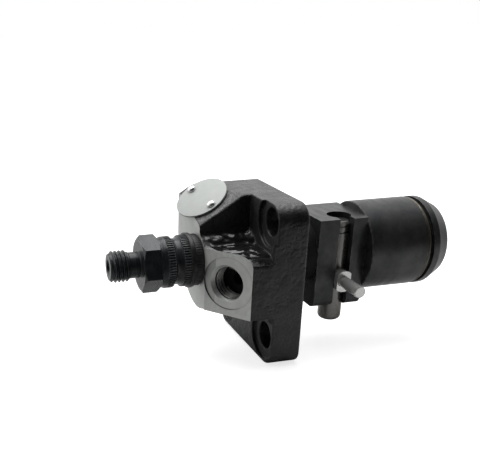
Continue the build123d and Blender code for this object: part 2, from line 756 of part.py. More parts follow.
with BuildPart() as control_rack:
    with BuildSketch(Plane.XY.offset(rack_bottom_z)):
        with Locations((rack_x, rack_y)):
            Circle(rack_radius)
    extrude(amount=rack_top_z - rack_bottom_z)
    fillet(control_rack.edges().group_by(Axis.Z)[0], rack_end_round)
    chamfer(control_rack.edges().group_by(Axis.Z)[-1], rack_mark_width)
    for mark_z in (rack_mark_upper_z, rack_mark_lower_z):
        with BuildSketch(Plane.XY.offset(mark_z)):
            with Locations((rack_x, rack_y)):
                Circle(rack_radius + 1)
                Circle(rack_radius - rack_mark_depth, mode=Mode.SUBTRACT)
        extrude(amount=-rack_mark_width, mode=Mode.SUBTRACT)

    # Back of the rod cut to the tooth tips, then the spaces between the teeth
    with BuildSketch(Plane.YZ.offset(rack_x)):
        with Locations((rack_tip_y, rack_cut_below_z)):
            Rectangle(2 * rack_radius, rack_cut_above_z - rack_cut_below_z, align=(Align.MIN, Align.MIN))
        for space in range(-rack_teeth_below, rack_teeth_above + 1):
            middle_z = (space + 0.5) * rack_pitch
            at_pitch = (rack_pitch + tooth_backlash) / 4
            at_tip = at_pitch + rack_addendum * tan(pressure_angle)
            at_root = at_pitch - (-pitch_radius - rack_root_y) * tan(pressure_angle)
            Polygon((rack_tip_y, middle_z - at_tip), (rack_tip_y, middle_z + at_tip),
                    (rack_root_y, middle_z + at_root), (rack_root_y, middle_z - at_root), align=None)
    extrude(amount=rack_radius, both=True, mode=Mode.SUBTRACT)

    # Flat seat for the collar, and the hole the pin is riveted into
    with BuildSketch(Plane.XY.offset(pin_z - collar_disc_radius)):
        with Locations((rack_x, collar_back_y)):
            Rectangle(2 * rack_radius, rack_radius, align=(Align.CENTER, Align.MAX))
    extrude(amount=2 * collar_disc_radius, mode=Mode.SUBTRACT)
    with BuildSketch(Plane.XZ.offset(-pin_root_y)):
        with Locations((rack_x, pin_z)):
            Circle(pin_shank_radius)
    extrude(amount=rack_radius, mode=Mode.SUBTRACT)
control_rack.part.label = "control_rack"

with BuildPart() as rack_collar:
    with BuildSketch(Plane.XZ.offset(-collar_back_y)):
        with Locations((rack_x, pin_z)):
            Circle(collar_disc_radius)
            Rectangle(2 * collar_half_width, 2 * collar_disc_radius, mode=Mode.INTERSECT)
            Circle(pin_shank_radius, mode=Mode.SUBTRACT)
    extrude(amount=collar_back_y - collar_front_y)
rack_collar.part.label = "rack_collar"

with BuildPart() as rack_pin:
    with BuildSketch(Plane.XZ.offset(-pin_root_y)):
        with Locations((rack_x, pin_z)):
            Circle(pin_shank_radius)
    extrude(amount=pin_root_y - collar_front_y + pin_shoulder_gap)
    with BuildSketch(Plane.XZ.offset(pin_shoulder_gap - collar_front_y)):
        with Locations((rack_x, pin_z)):
            Circle(pin_radius)
    extrude(amount=collar_front_y - pin_shoulder_gap - pin_end_y)
    chamfer(rack_pin.edges().group_by(Axis.Y)[0], pin_end_chamfer)
rack_pin.part.label = "rack_pin"


# Plunger spring between its two seats
with BuildPart() as upper_spring_seat:
    revolve(turned_profile([
        (spring_chamber_x, upper_seat_hole_radius),
        (spring_chamber_x, upper_seat_radius),
        (spring_chamber_x + upper_seat_length, upper_seat_radius),
        (spring_chamber_x + upper_seat_length, upper_seat_hole_radius),
    ]), axis=Axis.X)
upper_spring_seat.part.label = "upper_spring_seat"

with BuildPart() as plunger_spring:
    spring_start_x = spring_chamber_x + upper_seat_length + plunger_spring_wire
    spring_length = lower_seat_x - plunger_spring_wire - spring_start_x
    with BuildLine() as coil:
        Helix(pitch=spring_length / plunger_spring_turns, height=spring_length, radius=plunger_spring_radius,
              center=(spring_start_x, 0, 0), direction=(1, 0, 0))
    with BuildSketch(Plane(origin=coil.line @ 0, z_dir=coil.line % 0)):
        Circle(plunger_spring_wire)
    sweep()
plunger_spring.part.label = "plunger_spring"

with BuildPart() as lower_spring_seat:
    revolve(turned_profile([
        (lower_seat_x, 0),
        (lower_seat_x, lower_seat_radius),
        (lower_seat_recess_x, lower_seat_radius),
        (lower_seat_recess_x, lower_seat_hub_radius),
        (foot_end_x, lower_seat_hub_radius),
        (foot_end_x, 0),
    ]), axis=Axis.X)
    with BuildSketch(plane_at(lower_seat_x)):
        Circle(plunger_neck_radius + neck_clearance)
        Rectangle(2 * (plunger_neck_radius + neck_clearance), lower_seat_radius, align=(Align.CENTER, Align.MIN))
    extrude(amount=foot_end_x - lower_seat_x, mode=Mode.SUBTRACT)
    with BuildSketch(plane_at(lower_seat_recess_x)):
        Circle(plunger_foot_radius + foot_clearance)
        Rectangle(2 * (plunger_foot_radius + foot_clearance), lower_seat_radius,
                  align=(Align.CENTER, Align.MIN))
    extrude(amount=foot_end_x - lower_seat_recess_x, mode=Mode.SUBTRACT)
lower_spring_seat.part.label = "lower_spring_seat"

with BuildPart() as adjusting_shim:
    with BuildSketch(plane_at(shim_x)):
        Circle(shim_radius)
    extrude(amount=shim_thickness)
adjusting_shim.part.label = "adjusting_shim"


# Roller tappet
with BuildPart() as tappet:
    revolve(turned_profile([
        (tappet_skirt_x, tappet_skirt_bore),
        (tappet_skirt_x, tappet_radius),
        (tappet_end_x - tappet_end_chamfer, tappet_radius),
        (tappet_end_x, tappet_radius - tappet_end_chamfer),
        (tappet_end_x, 0),
        (tappet_floor_x, 0),
        (tappet_floor_x, tappet_skirt_bore),
    ]), axis=Axis.X)
    with BuildSketch(plane_at(tappet_fork_x)):
        Rectangle(2 * tappet_radius, 2 * roller_slot_half_width)
    extrude(amount=tappet_end_x - tappet_fork_x, mode=Mode.SUBTRACT)
    with BuildSketch(Plane.XY):
        with Locations((roller_x, 0)):
            Circle(roller_pin_radius)
    extrude(amount=tappet_radius, both=True, mode=Mode.SUBTRACT)
    slot_start_x = wire_ring_x - guide_pin_radius - guide_slot_clearance
    with BuildSketch(plane_at(slot_start_x)):
        with PolarLocations(0, 1, start_angle=guide_pin_angle):
            with Locations((guide_slot_radius, 0)):
                Rectangle(tappet_radius, 2 * (guide_pin_radius + guide_slot_clearance),
                          align=(Align.MIN, Align.CENTER))
    extrude(amount=tappet_end_x - slot_start_x, mode=Mode.SUBTRACT)
tappet.part.label = "tappet"

with BuildPart() as tappet_roller:
    with BuildSketch(Plane.XY.offset(-roller_half_width)):
        with Locations((roller_x, 0)):
            Circle(roller_radius)
            Circle(bush_radius + bush_clearance, mode=Mode.SUBTRACT)
    extrude(amount=2 * roller_half_width)
tappet_roller.part.label = "tappet_roller"

with BuildPart() as roller_bush:
    with BuildSketch(Plane.XY.offset(-roller_half_width)):
        with Locations((roller_x, 0)):
            Circle(bush_radius)
            Circle(roller_pin_radius + bush_clearance, mode=Mode.SUBTRACT)
    extrude(amount=2 * roller_half_width)
roller_bush.part.label = "roller_bush"

with BuildPart() as roller_pin:
    with BuildSketch(Plane.XY.offset(-roller_pin_half_length)):
        with Locations((roller_x, 0)):
            Circle(roller_pin_radius)
    extrude(amount=2 * roller_pin_half_length)
roller_pin.part.label = "roller_pin"

with BuildPart() as tappet_guide_pin:
    with BuildSketch(guide_pin_plane.offset(guide_pin_inner)):
        Circle(guide_pin_radius)
    extrude(amount=guide_pin_outer - guide_pin_inner)
tappet_guide_pin.part.label = "tappet_guide_pin"

with BuildPart() as retaining_ring:
    with BuildSketch(Plane.XY):
        with Locations((wire_ring_x, ring_groove_radius + wire_ring_radius)):
            Circle(wire_ring_radius)
    revolve(axis=Axis.X, revolution_arc=360 - wire_ring_gap_angle)
retaining_ring.part.label = "retaining_ring"


os.makedirs("parts", exist_ok=True)
for piece in (
    pump_housing, name_plate, plate_rivets, guide_body, delivery_valve_holder, holder_seal_ring,
    holder_lock_ring, delivery_valve_gasket, delivery_valve_seat, delivery_valve, delivery_valve_spring,
    volume_reducer, barrel, barrel_locating_pin, plunger, control_pinion, control_rack, rack_collar,
    rack_pin, upper_spring_seat, plunger_spring, lower_spring_seat, adjusting_shim, tappet,
    tappet_roller, roller_bush, roller_pin, tappet_guide_pin, retaining_ring,
):
    export_step(piece.part, "parts/" + piece.part.label + ".step")
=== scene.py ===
from math import atan2, cos, hypot, pi, radians, sin

import bmesh
import bpy
from mathutils import Matrix, Vector


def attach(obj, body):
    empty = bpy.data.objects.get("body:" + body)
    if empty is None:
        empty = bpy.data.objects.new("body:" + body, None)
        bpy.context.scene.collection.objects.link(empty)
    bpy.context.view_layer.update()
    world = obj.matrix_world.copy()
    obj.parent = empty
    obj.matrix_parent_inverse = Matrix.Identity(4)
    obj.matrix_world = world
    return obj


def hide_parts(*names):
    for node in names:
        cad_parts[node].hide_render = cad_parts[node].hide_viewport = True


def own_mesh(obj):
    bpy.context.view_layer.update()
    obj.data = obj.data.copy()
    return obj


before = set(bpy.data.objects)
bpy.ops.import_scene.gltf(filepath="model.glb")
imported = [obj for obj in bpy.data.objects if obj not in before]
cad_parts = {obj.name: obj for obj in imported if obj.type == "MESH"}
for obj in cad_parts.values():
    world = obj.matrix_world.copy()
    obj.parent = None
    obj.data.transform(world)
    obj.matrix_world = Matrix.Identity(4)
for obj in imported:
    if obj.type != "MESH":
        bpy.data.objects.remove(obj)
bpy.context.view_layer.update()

mm = 0.001


def shader_group(name, inputs, outputs):
    """An empty shader node group with named inputs (name, kind, value) and outputs (name, kind)."""
    group = bpy.data.node_groups.new(name, "ShaderNodeTree")
    for socket_name, kind, value in inputs:
        socket = group.interface.new_socket(socket_name, in_out="INPUT", socket_type=kind)
        if value is not None:
            socket.default_value = value
    for socket_name, kind in outputs:
        group.interface.new_socket(socket_name, in_out="OUTPUT", socket_type=kind)
    return group, group.nodes.new("NodeGroupInput"), group.nodes.new("NodeGroupOutput")


def add_node(tree, kind, settings=None, **sockets):
    """A node of that kind, with its settings and its unlinked or linked input sockets filled in."""
    node = tree.nodes.new(kind)
    for name, value in (settings or {}).items():
        setattr(node, name, value)
    for name, value in sockets.items():
        fill(tree, find_input(node, name), value)
    return node


def find_input(node, name):
    """The input called name, with underscores for blanks, or the numbered input of a maths node."""
    if name.startswith("in_"):
        return node.inputs[int(name[3:])]
    return node.inputs[name.replace("_", " ")]


def fill(tree, socket, value):
    """Links value to the socket if it is another node's output, and otherwise sets it."""
    if isinstance(value, bpy.types.NodeSocket):
        tree.links.new(value, socket)
    else:
        socket.default_value = value


def maths(tree, operation, *values):
    """The output of a Math node on up to three values or sockets."""
    node = add_node(tree, "ShaderNodeMath", {"operation": operation})
    for socket, value in zip(node.inputs, values):
        fill(tree, socket, value)
    return node.outputs[0]


def dot(tree, first, second):
    """The dot product of two vectors."""
    node = add_node(tree, "ShaderNodeVectorMath", {"operation": "DOT_PRODUCT"}, in_0=first, in_1=second)
    return node.outputs["Value"]


def ramp(tree, value, low, high, to_low=0.0, to_high=1.0):
    """The value mapped from low..high to to_low..to_high and held inside it."""
    node = add_node(tree, "ShaderNodeMapRange", {"clamp": True})
    for socket, number in zip(node.inputs, (value, low, high, to_low, to_high)):
        fill(tree, socket, number)
    return node.outputs[0]


def noise(tree, vector, scale, detail=3.0, roughness=0.55):
    """The grey output of a Noise texture."""
    return add_node(tree, "ShaderNodeTexNoise", Vector=vector, Scale=scale, Detail=detail,
                    Roughness=roughness).outputs[0]


def mix_colours(tree, factor, first, second):
    """A blend of two colours."""
    node = add_node(tree, "ShaderNodeMix", {"data_type": "RGBA"})
    for socket, value in zip((node.inputs[0], node.inputs[6], node.inputs[7]), (factor, first, second)):
        fill(tree, socket, value)
    return node.outputs[2]


def mix_values(tree, factor, first, second):
    """A blend of two numbers."""
    return add_node(tree, "ShaderNodeMix", in_0=factor, in_2=first, in_3=second).outputs[0]


def build_grain_group():
    """Uneven skin of a cast, painted or dipped surface: a height, a fine mottle and broad patches."""
    group, start, end = shader_group(
        "surface_grain",
        [("Vector", "NodeSocketVector", None), ("Grain per metre", "NodeSocketFloat", 900.0),
         ("Swell per metre", "NodeSocketFloat", 140.0), ("Swell share", "NodeSocketFloat", 0.5)],
        [("Height", "NodeSocketFloat"), ("Mottle", "NodeSocketFloat"), ("Patches", "NodeSocketFloat")])
    point = start.outputs["Vector"]
    grain = noise(group, point, start.outputs["Grain per metre"], 4.0, 0.6)
    swell = noise(group, point, start.outputs["Swell per metre"], 2.0, 0.5)
    fill(group, end.inputs["Height"], mix_values(group, start.outputs["Swell share"], grain, swell))
    fill(group, end.inputs["Mottle"], grain)
    fill(group, end.inputs["Patches"], ramp(group, swell, 0.35, 0.65))
    return group


def build_turned_group():
    """Fine rings that a lathe leaves about the pump axis, on round faces and on end faces alike."""
    group, start, end = shader_group(
        "turned_rings",
        [("Vector", "NodeSocketVector", None), ("Rings per metre", "NodeSocketFloat", 4000.0)],
        [("Height", "NodeSocketFloat"), ("Streaks", "NodeSocketFloat")])
    apart = add_node(group, "ShaderNodeSeparateXYZ", Vector=start.outputs["Vector"])
    across = maths(group, "ADD", maths(group, "POWER", apart.outputs[1], 2.0),
                   maths(group, "POWER", apart.outputs[2], 2.0))
    radius = maths(group, "SQRT", across)
    ring_point = add_node(group, "ShaderNodeCombineXYZ", X=apart.outputs[0], Y=radius, Z=0.0)
    fine = noise(group, ring_point.outputs[0], start.outputs["Rings per metre"], 2.0, 0.6)
    coarse = noise(group, ring_point.outputs[0],
                   maths(group, "MULTIPLY", start.outputs["Rings per metre"], 0.22), 2.0, 0.5)
    fill(group, end.inputs["Height"], fine)
    fill(group, end.inputs["Streaks"], coarse)
    return group


def build_wear_group():
    """Sharp edges rubbed bare: 1 on a worn edge and 0 elsewhere, broken up by noise."""
    group, start, end = shader_group(
        "edge_wear",
        [("Vector", "NodeSocketVector", None), ("Width", "NodeSocketFloat", 0.4 * mm),
         ("Breakup per metre", "NodeSocketFloat", 500.0)],
        [("Mask", "NodeSocketFloat")])
    rounded = add_node(group, "ShaderNodeBevel", {"samples": 4}, Radius=start.outputs["Width"])
    true_normal = add_node(group, "ShaderNodeNewGeometry").outputs["Normal"]
    edge = ramp(group, dot(group, rounded.outputs[0], true_normal), 0.995, 0.9)
    breakup = noise(group, start.outputs["Vector"], start.outputs["Breakup per metre"], 4.0)
    broken = ramp(group, breakup, 0.42, 0.62)
    fill(group, end.inputs["Mask"], maths(group, "MULTIPLY", edge, broken))
    return group


surface_grain = build_grain_group()
turned_rings = build_turned_group()
edge_wear = build_wear_group()


def use_group(tree, group, **sockets):
    """A shader node group placed in a material with its own values."""
    node = tree.nodes.new("ShaderNodeGroup")
    node.node_tree = group
    for name, value in sockets.items():
        fill(tree, node.inputs[name.replace("_", " ")], value)
    return node


def new_finish(name, **sockets):
    """A material with one Principled shader. Returns it, its node tree, the shader and the object point."""
    material = bpy.data.materials.new(name)
    material.use_nodes = True
    tree = material.node_tree
    shader = tree.nodes["Principled BSDF"]
    for socket_name, value in sockets.items():
        shader.inputs[socket_name.replace("_", " ")].default_value = value
    point = tree.nodes.new("ShaderNodeTexCoord").outputs["Object"]
    return material, tree, shader, point


def set_bump(tree, shader, height, depth):
    """Bumps the shader's normal by the height, which is depth metres from 0 to 1."""
    bump = add_node(tree, "ShaderNodeBump", Strength=1.0, Distance=depth, Height=height)
    fill(tree, shader.inputs["Normal"], bump.outputs[0])
    return bump


def dress_node(node_name, *materials):
    """Gives a CAD node's own object these materials, one for each of its slots."""
    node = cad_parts[node_name]
    for index, material in enumerate(materials):
        node.material_slots[index].material = material


# The cast head and its mounting flange are one iron casting, painted glossy black. The head
# face, the inlet pad, the inlet's seat and the mounting face are machined after painting,
# so they show bare light grey iron with the marks of the cutter.
flange_front_x = -13.4 * mm
port_mouth_depth = 1.4 * mm
port_mouth_edge = (7.7 * mm, 7.4 * mm)
cast_relief_height = 0.6 * mm
cast_edge_radius = 0.9 * mm
machined_edge_radius = 0.25 * mm
paint_runs_per_metre = 210.0
paint_run_height = 2.6
paint_run_slope = 380.0
scoop_side_y = (-1.9 * mm, -2.8 * mm)
scoop_low_z = (3.0 * mm, 6.0 * mm)
pad_angle = radians(50.0)
pad_start = Vector((-33.2, -9.3, 0.0)) * mm
pad_normal = Vector((-sin(pad_angle), -cos(pad_angle), 0.0))
port_angle = radians(56.0)
port_center = Vector((-27.4, -17.0, -4.6)) * mm
port_normal = Vector((-sin(port_angle), -cos(port_angle), 0.0))
port_seat_radius = 10.0 * mm
seat_wall_inside = (9.6 * mm, 9.85 * mm)
seat_wall_outside = (10.25 * mm, 10.0 * mm)
seat_shade_reach = (1.0 * mm, 6.0 * mm)
port_low_side = (Vector((-0.559, 0.829, 0.0)) * 0.75 + Vector((0.0, 0.0, -0.66))).normalized()
plate_center = Vector((-27.9, 10.2, 21.1)) * mm
plate_normal = Vector((-0.517, -0.225, 0.826)).normalized()
plate_thickness = 0.8 * mm
rim_inside = (10.6 * mm, 11.4 * mm)
rim_outside = (13.6 * mm, 12.2 * mm)
rim_depth = (-1.6 * mm, -1.0 * mm)
head_face_x = -33.2 * mm
skin = 0.04 * mm


def above_plane(tree, point, origin, normal):
    """1 where the point lies on the plane or outside it, and 0 inside the casting."""
    return maths(tree, "GREATER_THAN", dot(tree, point, normal), origin.dot(normal) - skin)


def from_axis(tree, point, center, axis):
    """How far the point lies from an axis line, and how far along the axis, both in metres."""
    apart = add_node(tree, "ShaderNodeVectorMath", {"operation": "SUBTRACT"}, in_0=point, in_1=center)
    crossed = add_node(tree, "ShaderNodeVectorMath", {"operation": "CROSS_PRODUCT"},
                       in_0=apart.outputs[0], in_1=axis)
    away = add_node(tree, "ShaderNodeVectorMath", {"operation": "LENGTH"}, in_0=crossed.outputs[0])
    return away.outputs["Value"], dot(tree, apart.outputs[0], axis)


def find_inlet_zones(tree, point):
    """Masks of the fuel inlet: the seat round it, its bright mouth, the bore past the mouth, made
    near black, and painted shade on the seat's lower-left wall. The last value is the turning
    marks on the seat."""
    away, along = from_axis(tree, point, port_center, port_normal)
    in_seat = maths(tree, "MULTIPLY", maths(tree, "LESS_THAN", away, port_seat_radius + skin),
                    maths(tree, "GREATER_THAN", along, -port_mouth_depth))
    mouth = maths(tree, "MULTIPLY", in_seat, ramp(tree, away, *port_mouth_edge))
    deep_in_bore = maths(tree, "MULTIPLY", maths(tree, "LESS_THAN", away, port_seat_radius),
                 maths(tree, "LESS_THAN", along, -port_mouth_depth))
    low_side = maths(tree, "SUBTRACT", dot(tree, point, port_low_side), port_center.dot(port_low_side))
    wall = maths(tree, "MULTIPLY", ramp(tree, away, *seat_wall_inside), ramp(tree, away, *seat_wall_outside))
    shade = maths(tree, "MULTIPLY", wall, ramp(tree, low_side, *seat_shade_reach, 0.18, 0.9))
    ring_point = add_node(tree, "ShaderNodeCombineXYZ", X=away, Y=0.0, Z=0.0)
    return in_seat, mouth, deep_in_bore, shade, noise(tree, ring_point.outputs[0], 2600.0, 2.0)


def find_scoop(tree, place, facing, ahead_of_flange):
    """1 on the floor of the scoop above the inlet, where the paint ran thick and glossy."""
    beside = maths(tree, "MULTIPLY", ahead_of_flange, ramp(tree, place.outputs[1], *scoop_side_y))
    above = maths(tree, "MULTIPLY", beside, ramp(tree, place.outputs[2], *scoop_low_z))
    return maths(tree, "MULTIPLY", above, ramp(tree, facing.outputs[2], 0.15, 0.45))


def find_plate_rim(tree, point, mottle):
    """1 in spots on the casting's edge round the plate, where the paint is rubbed."""
    away, along = from_axis(tree, point, plate_center, plate_normal)
    rim = maths(tree, "MULTIPLY", ramp(tree, away, *rim_inside), ramp(tree, away, *rim_outside))
    rim = maths(tree, "MULTIPLY", rim, ramp(tree, along, *rim_depth))
    return maths(tree, "MULTIPLY", rim, ramp(tree, mottle, 0.42, 0.6))


def round_edges(tree, bump, bare):
    """Rounds the shading at the casting's edges: widely under paint and sharply where machined."""
    cast_edge = add_node(tree, "ShaderNodeBevel", {"samples": 6}, Radius=cast_edge_radius)
    sharp_edge = add_node(tree, "ShaderNodeBevel", {"samples": 4}, Radius=machined_edge_radius)
    edge = add_node(tree, "ShaderNodeMix", {"data_type": "VECTOR"})
    for socket, value in zip((edge.inputs[0], edge.inputs[4], edge.inputs[5]),
                             (bare, cast_edge.outputs[0], sharp_edge.outputs[0])):
        fill(tree, socket, value)
    fill(tree, bump.inputs["Normal"], edge.outputs[1])


def make_casting_finish():
    """Glossy black paint over rough cast iron, and bare grey iron where the casting is machined."""
    material, tree, shader, point = new_finish("casting_black_paint", Specular_IOR_Level=0.5, IOR=1.5)
    grain = use_group(tree, surface_grain, Vector=point, Grain_per_metre=780.0, Swell_per_metre=230.0,
                      Swell_share=0.6)
    wear = use_group(tree, edge_wear, Vector=point, Width=0.35 * mm, Breakup_per_metre=420.0)
    marks = use_group(tree, turned_rings, Vector=point, Rings_per_metre=3200.0)
    place = add_node(tree, "ShaderNodeSeparateXYZ", Vector=point)
    normal = add_node(tree, "ShaderNodeNewGeometry").outputs["Normal"]
    facing = add_node(tree, "ShaderNodeSeparateXYZ", Vector=normal)

    ahead_of_flange = maths(tree, "LESS_THAN", place.outputs[0], flange_front_x)
    on_pad = maths(tree, "MULTIPLY", above_plane(tree, point, pad_start, pad_normal), ahead_of_flange)
    in_seat, mouth, deep_in_bore, seat_shade, seat_marks = find_inlet_zones(tree, point)
    on_head = above_plane(tree, point, Vector((head_face_x, 0, 0)), Vector((-1, 0, 0)))
    on_flange_back = maths(tree, "GREATER_THAN", place.outputs[0], -skin)
    bare = maths(tree, "MAXIMUM", maths(tree, "MAXIMUM", on_head, on_flange_back),
                 maths(tree, "MAXIMUM", on_pad, in_seat))
    in_scoop = find_scoop(tree, place, facing, ahead_of_flange)

    paint = mix_colours(tree, grain.outputs["Mottle"], (0.007, 0.007, 0.0075, 1), (0.016, 0.016, 0.0165, 1))
    rubbed = maths(tree, "MAXIMUM", maths(tree, "MULTIPLY", wear.outputs["Mask"], 0.35),
                   maths(tree, "MULTIPLY", find_plate_rim(tree, point, grain.outputs["Mottle"]), 0.45))
    worn = mix_colours(tree, rubbed, paint, (0.20, 0.20, 0.20, 1))
    # The bore past the mouth is made near black.
    worn = mix_colours(tree, deep_in_bore, worn, (0.006, 0.006, 0.006, 1))
    iron_marks = mix_values(tree, in_seat, marks.outputs["Streaks"], seat_marks)
    # Painted light: the inlet pad gets lighter iron than the head face, though both are the same machined
    # iron.
    iron_dark = mix_colours(tree, on_pad, (0.44, 0.455, 0.44, 1), (0.62, 0.635, 0.61, 1))
    iron_light = mix_colours(tree, on_pad, (0.61, 0.625, 0.60, 1), (0.88, 0.89, 0.85, 1))
    iron = mix_colours(tree, iron_marks, iron_dark, iron_light)
    dulled = maths(tree, "MULTIPLY", grain.outputs["Patches"], 0.2)
    iron = mix_colours(tree, dulled, iron, (0.36, 0.365, 0.35, 1))
    # Painted shade on the lower-left wall of the inlet's seat.
    iron = mix_colours(tree, seat_shade, iron, (0.02, 0.02, 0.02, 1))
    fill(tree, shader.inputs["Base Color"], mix_colours(tree, bare, worn, iron))

    paint_rough = ramp(tree, grain.outputs["Patches"], 0.0, 1.0, 0.24, 0.38)
    paint_rough = maths(tree, "MULTIPLY", paint_rough, ramp(tree, in_scoop, 0.0, 1.0, 1.0, 0.4))
    paint_rough = maths(tree, "MAXIMUM", paint_rough, maths(tree, "MULTIPLY", deep_in_bore, 0.85))
    faces_left = ramp(tree, facing.outputs[0], -0.8, -0.95)
    paint_rough = maths(tree, "MAXIMUM", paint_rough, maths(tree, "MULTIPLY", faces_left, 0.55))
    iron_rough = ramp(tree, marks.outputs["Streaks"], 0.3, 0.7, 0.42, 0.56)
    fill(tree, shader.inputs["Roughness"], mix_values(tree, bare, paint_rough, iron_rough))
    bare_metallic = ramp(tree, mouth, 0.0, 1.0, 0.35, 0.9)
    fill(tree, shader.inputs["Metallic"], maths(tree, "MULTIPLY", bare, bare_metallic))

    runs = maths(tree, "ADD", maths(tree, "MULTIPLY", noise(tree, point, paint_runs_per_metre, 1.0),
                                    paint_run_height),
                 maths(tree, "MULTIPLY", place.outputs[1], paint_run_slope))
    skin_height = mix_values(tree, in_scoop, grain.outputs["Height"], runs)
    relief = mix_values(tree, bare, skin_height, maths(tree, "MULTIPLY", iron_marks, 0.04))
    round_edges(tree, set_bump(tree, shader, relief, cast_relief_height), bare)
    return material


dress_node("pump_housing", make_casting_finish())


# The thread of the fuel inlet is cut inside the bore for a banjo bolt. It is a steel-bright
# spiral ridge of 1.5 mm pitch in the cast iron, from the chamfered mouth to the bottom.
inlet_bore_radius = 6.2 * mm
inlet_thread_depth = 0.5 * mm
inlet_thread_pitch = 1.5 * mm
inlet_thread_length = 6.2 * mm
inlet_thread_start_depth = 1.6 * mm


def finish_mesh(mesh_object, material, smooth_angle=35.0):
    """Smooth shading up to the given angle, and one material."""
    mesh = mesh_object.data
    mesh.materials.append(material)
    mesh.shade_smooth()
    mesh.set_sharp_from_angle(angle=radians(smooth_angle))


def add_piece(name, bm, material, body, replaced=(), smooth_angle=35.0, recalculate=True):
    """Turns a bmesh into a piece that rides on a body and may stand for CAD nodes."""
    bmesh.ops.remove_doubles(bm, verts=bm.verts, dist=0.0005 * mm)
    if recalculate:
        bmesh.ops.recalc_face_normals(bm, faces=bm.faces)
    mesh = bpy.data.meshes.new(name)
    bm.to_mesh(mesh)
    bm.free()
    piece = bpy.data.objects.new(name, mesh)
    bpy.context.scene.collection.objects.link(piece)
    finish_mesh(piece, material, smooth_angle)
    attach(piece, body)
    if replaced:
        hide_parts(*replaced)
    return piece


def spun_line(bm, points, turns=1.0, pitch=0.0, steps=96, closed=False):
    """Spins a line of (x, radius) points about the X axis, as a full turn or as a screw.

    A closed line has an edge from its last point to its first."""
    verts = [bm.verts.new((x, 0.0, radius)) for x, radius in points]
    edges = [bm.edges.new(pair) for pair in zip(verts, verts[1:] + verts[:1] * closed)]
    count = round(steps * turns)
    bmesh.ops.spin(bm, geom=verts + edges, cent=(0, 0, 0), axis=(1, 0, 0), dvec=(pitch / steps, 0, 0),
                   angle=2 * pi * turns, steps=count, use_merge=pitch == 0.0)
    bmesh.ops.remove_doubles(bm, verts=bm.verts, dist=0.0005 * mm)


def make_inlet_thread_finish():
    """Freshly cut iron thread with an uneven film of oil."""
    material, tree, shader, point = new_finish("cut_iron_thread", Metallic=0.8)
    grain = use_group(tree, surface_grain, Vector=point, Grain_per_metre=1500.0, Swell_per_metre=350.0)
    fill(tree, shader.inputs["Base Color"],
         mix_colours(tree, grain.outputs["Patches"], (0.16, 0.16, 0.155, 1), (0.34, 0.34, 0.33, 1)))
    fill(tree, shader.inputs["Roughness"], ramp(tree, grain.outputs["Mottle"], 0.3, 0.7, 0.28, 0.5))
    set_bump(tree, shader, grain.outputs["Height"], 0.03 * mm)
    return material


inlet_thread = bmesh.new()
inlet_sunk_radius = inlet_bore_radius + 0.1 * mm
inlet_crest_radius = inlet_bore_radius - inlet_thread_depth
inlet_turns = inlet_thread_length / inlet_thread_pitch - 0.5
inlet_profile = [(share * inlet_thread_pitch, radius) for share, radius in (
    (-0.45, inlet_sunk_radius), (-0.08, inlet_crest_radius),
    (0.08, inlet_crest_radius), (0.45, inlet_sunk_radius))]
spun_line(inlet_thread, inlet_profile, inlet_turns, inlet_thread_pitch, steps=64, closed=True)
bmesh.ops.holes_fill(inlet_thread, edges=[edge for edge in inlet_thread.edges if edge.is_boundary], sides=0)
port_turn = Vector((1, 0, 0)).rotation_difference(-port_normal).to_matrix().to_4x4()
inlet_place = Matrix.Translation(port_center - inlet_thread_start_depth * port_normal) @ port_turn
bmesh.ops.transform(inlet_thread, matrix=inlet_place, verts=inlet_thread.verts)
add_piece("fuel_inlet_thread", inlet_thread, make_inlet_thread_finish(), "pump")


# The round plate is a thin stamped disc of satin aluminium, left blank. It lies on the
# sloping seat of the casting and is held by two bright dome-headed drive rivets.
plate_radius = 10.37 * mm
plate_rim_round = 0.18 * mm
plate_shift_across = 0.95 * mm
plate_shift_along = -0.3 * mm
rivet_spacing = 15.7 * mm
rivet_line_turn = radians(3.4)
rivet_head_radius = 1.7 * mm
rivet_head_height = 1.15 * mm
rivet_head_lift = 0.25 * mm
rivet_shank_radius = 0.9 * mm
rivet_shank_length = 5.0 * mm
plate_along = Vector((0, 1, 0)).cross(plate_normal).normalized()
plate_across = plate_normal.cross(plate_along)
plate_turn = Matrix((plate_along, plate_across, plate_normal)).transposed().to_4x4()
plate_middle = plate_center + plate_shift_across * plate_across + plate_shift_along * plate_along
plate_place = Matrix.Translation(plate_middle) @ plate_turn
rivet_line = Matrix.Rotation(rivet_line_turn, 4, "Z")


def make_plate_finish():
    """Satin aluminium with faint rolling lines, small dents and dull patches."""
    material, tree, shader, point = new_finish("plate_satin_aluminium", Metallic=0.25)
    stretched = add_node(tree, "ShaderNodeMapping", Vector=point, Scale=(900.0, 5200.0, 900.0),
                         Rotation=(0.0, 0.56, 0.0))
    lines = noise(tree, stretched.outputs[0], 1.0, 2.0)
    grain = use_group(tree, surface_grain, Vector=point, Grain_per_metre=1900.0, Swell_per_metre=260.0,
                      Swell_share=0.35)
    tone = mix_colours(tree, lines, (0.42, 0.44, 0.425, 1), (0.50, 0.52, 0.505, 1))
    dulled = maths(tree, "MULTIPLY", grain.outputs["Patches"], 0.25)
    fill(tree, shader.inputs["Base Color"], mix_colours(tree, dulled, tone, (0.37, 0.385, 0.37, 1)))
    fill(tree, shader.inputs["Roughness"], ramp(tree, lines, 0.3, 0.7, 0.50, 0.62))
    set_bump(tree, shader, grain.outputs["Height"], 0.04 * mm)
    return material


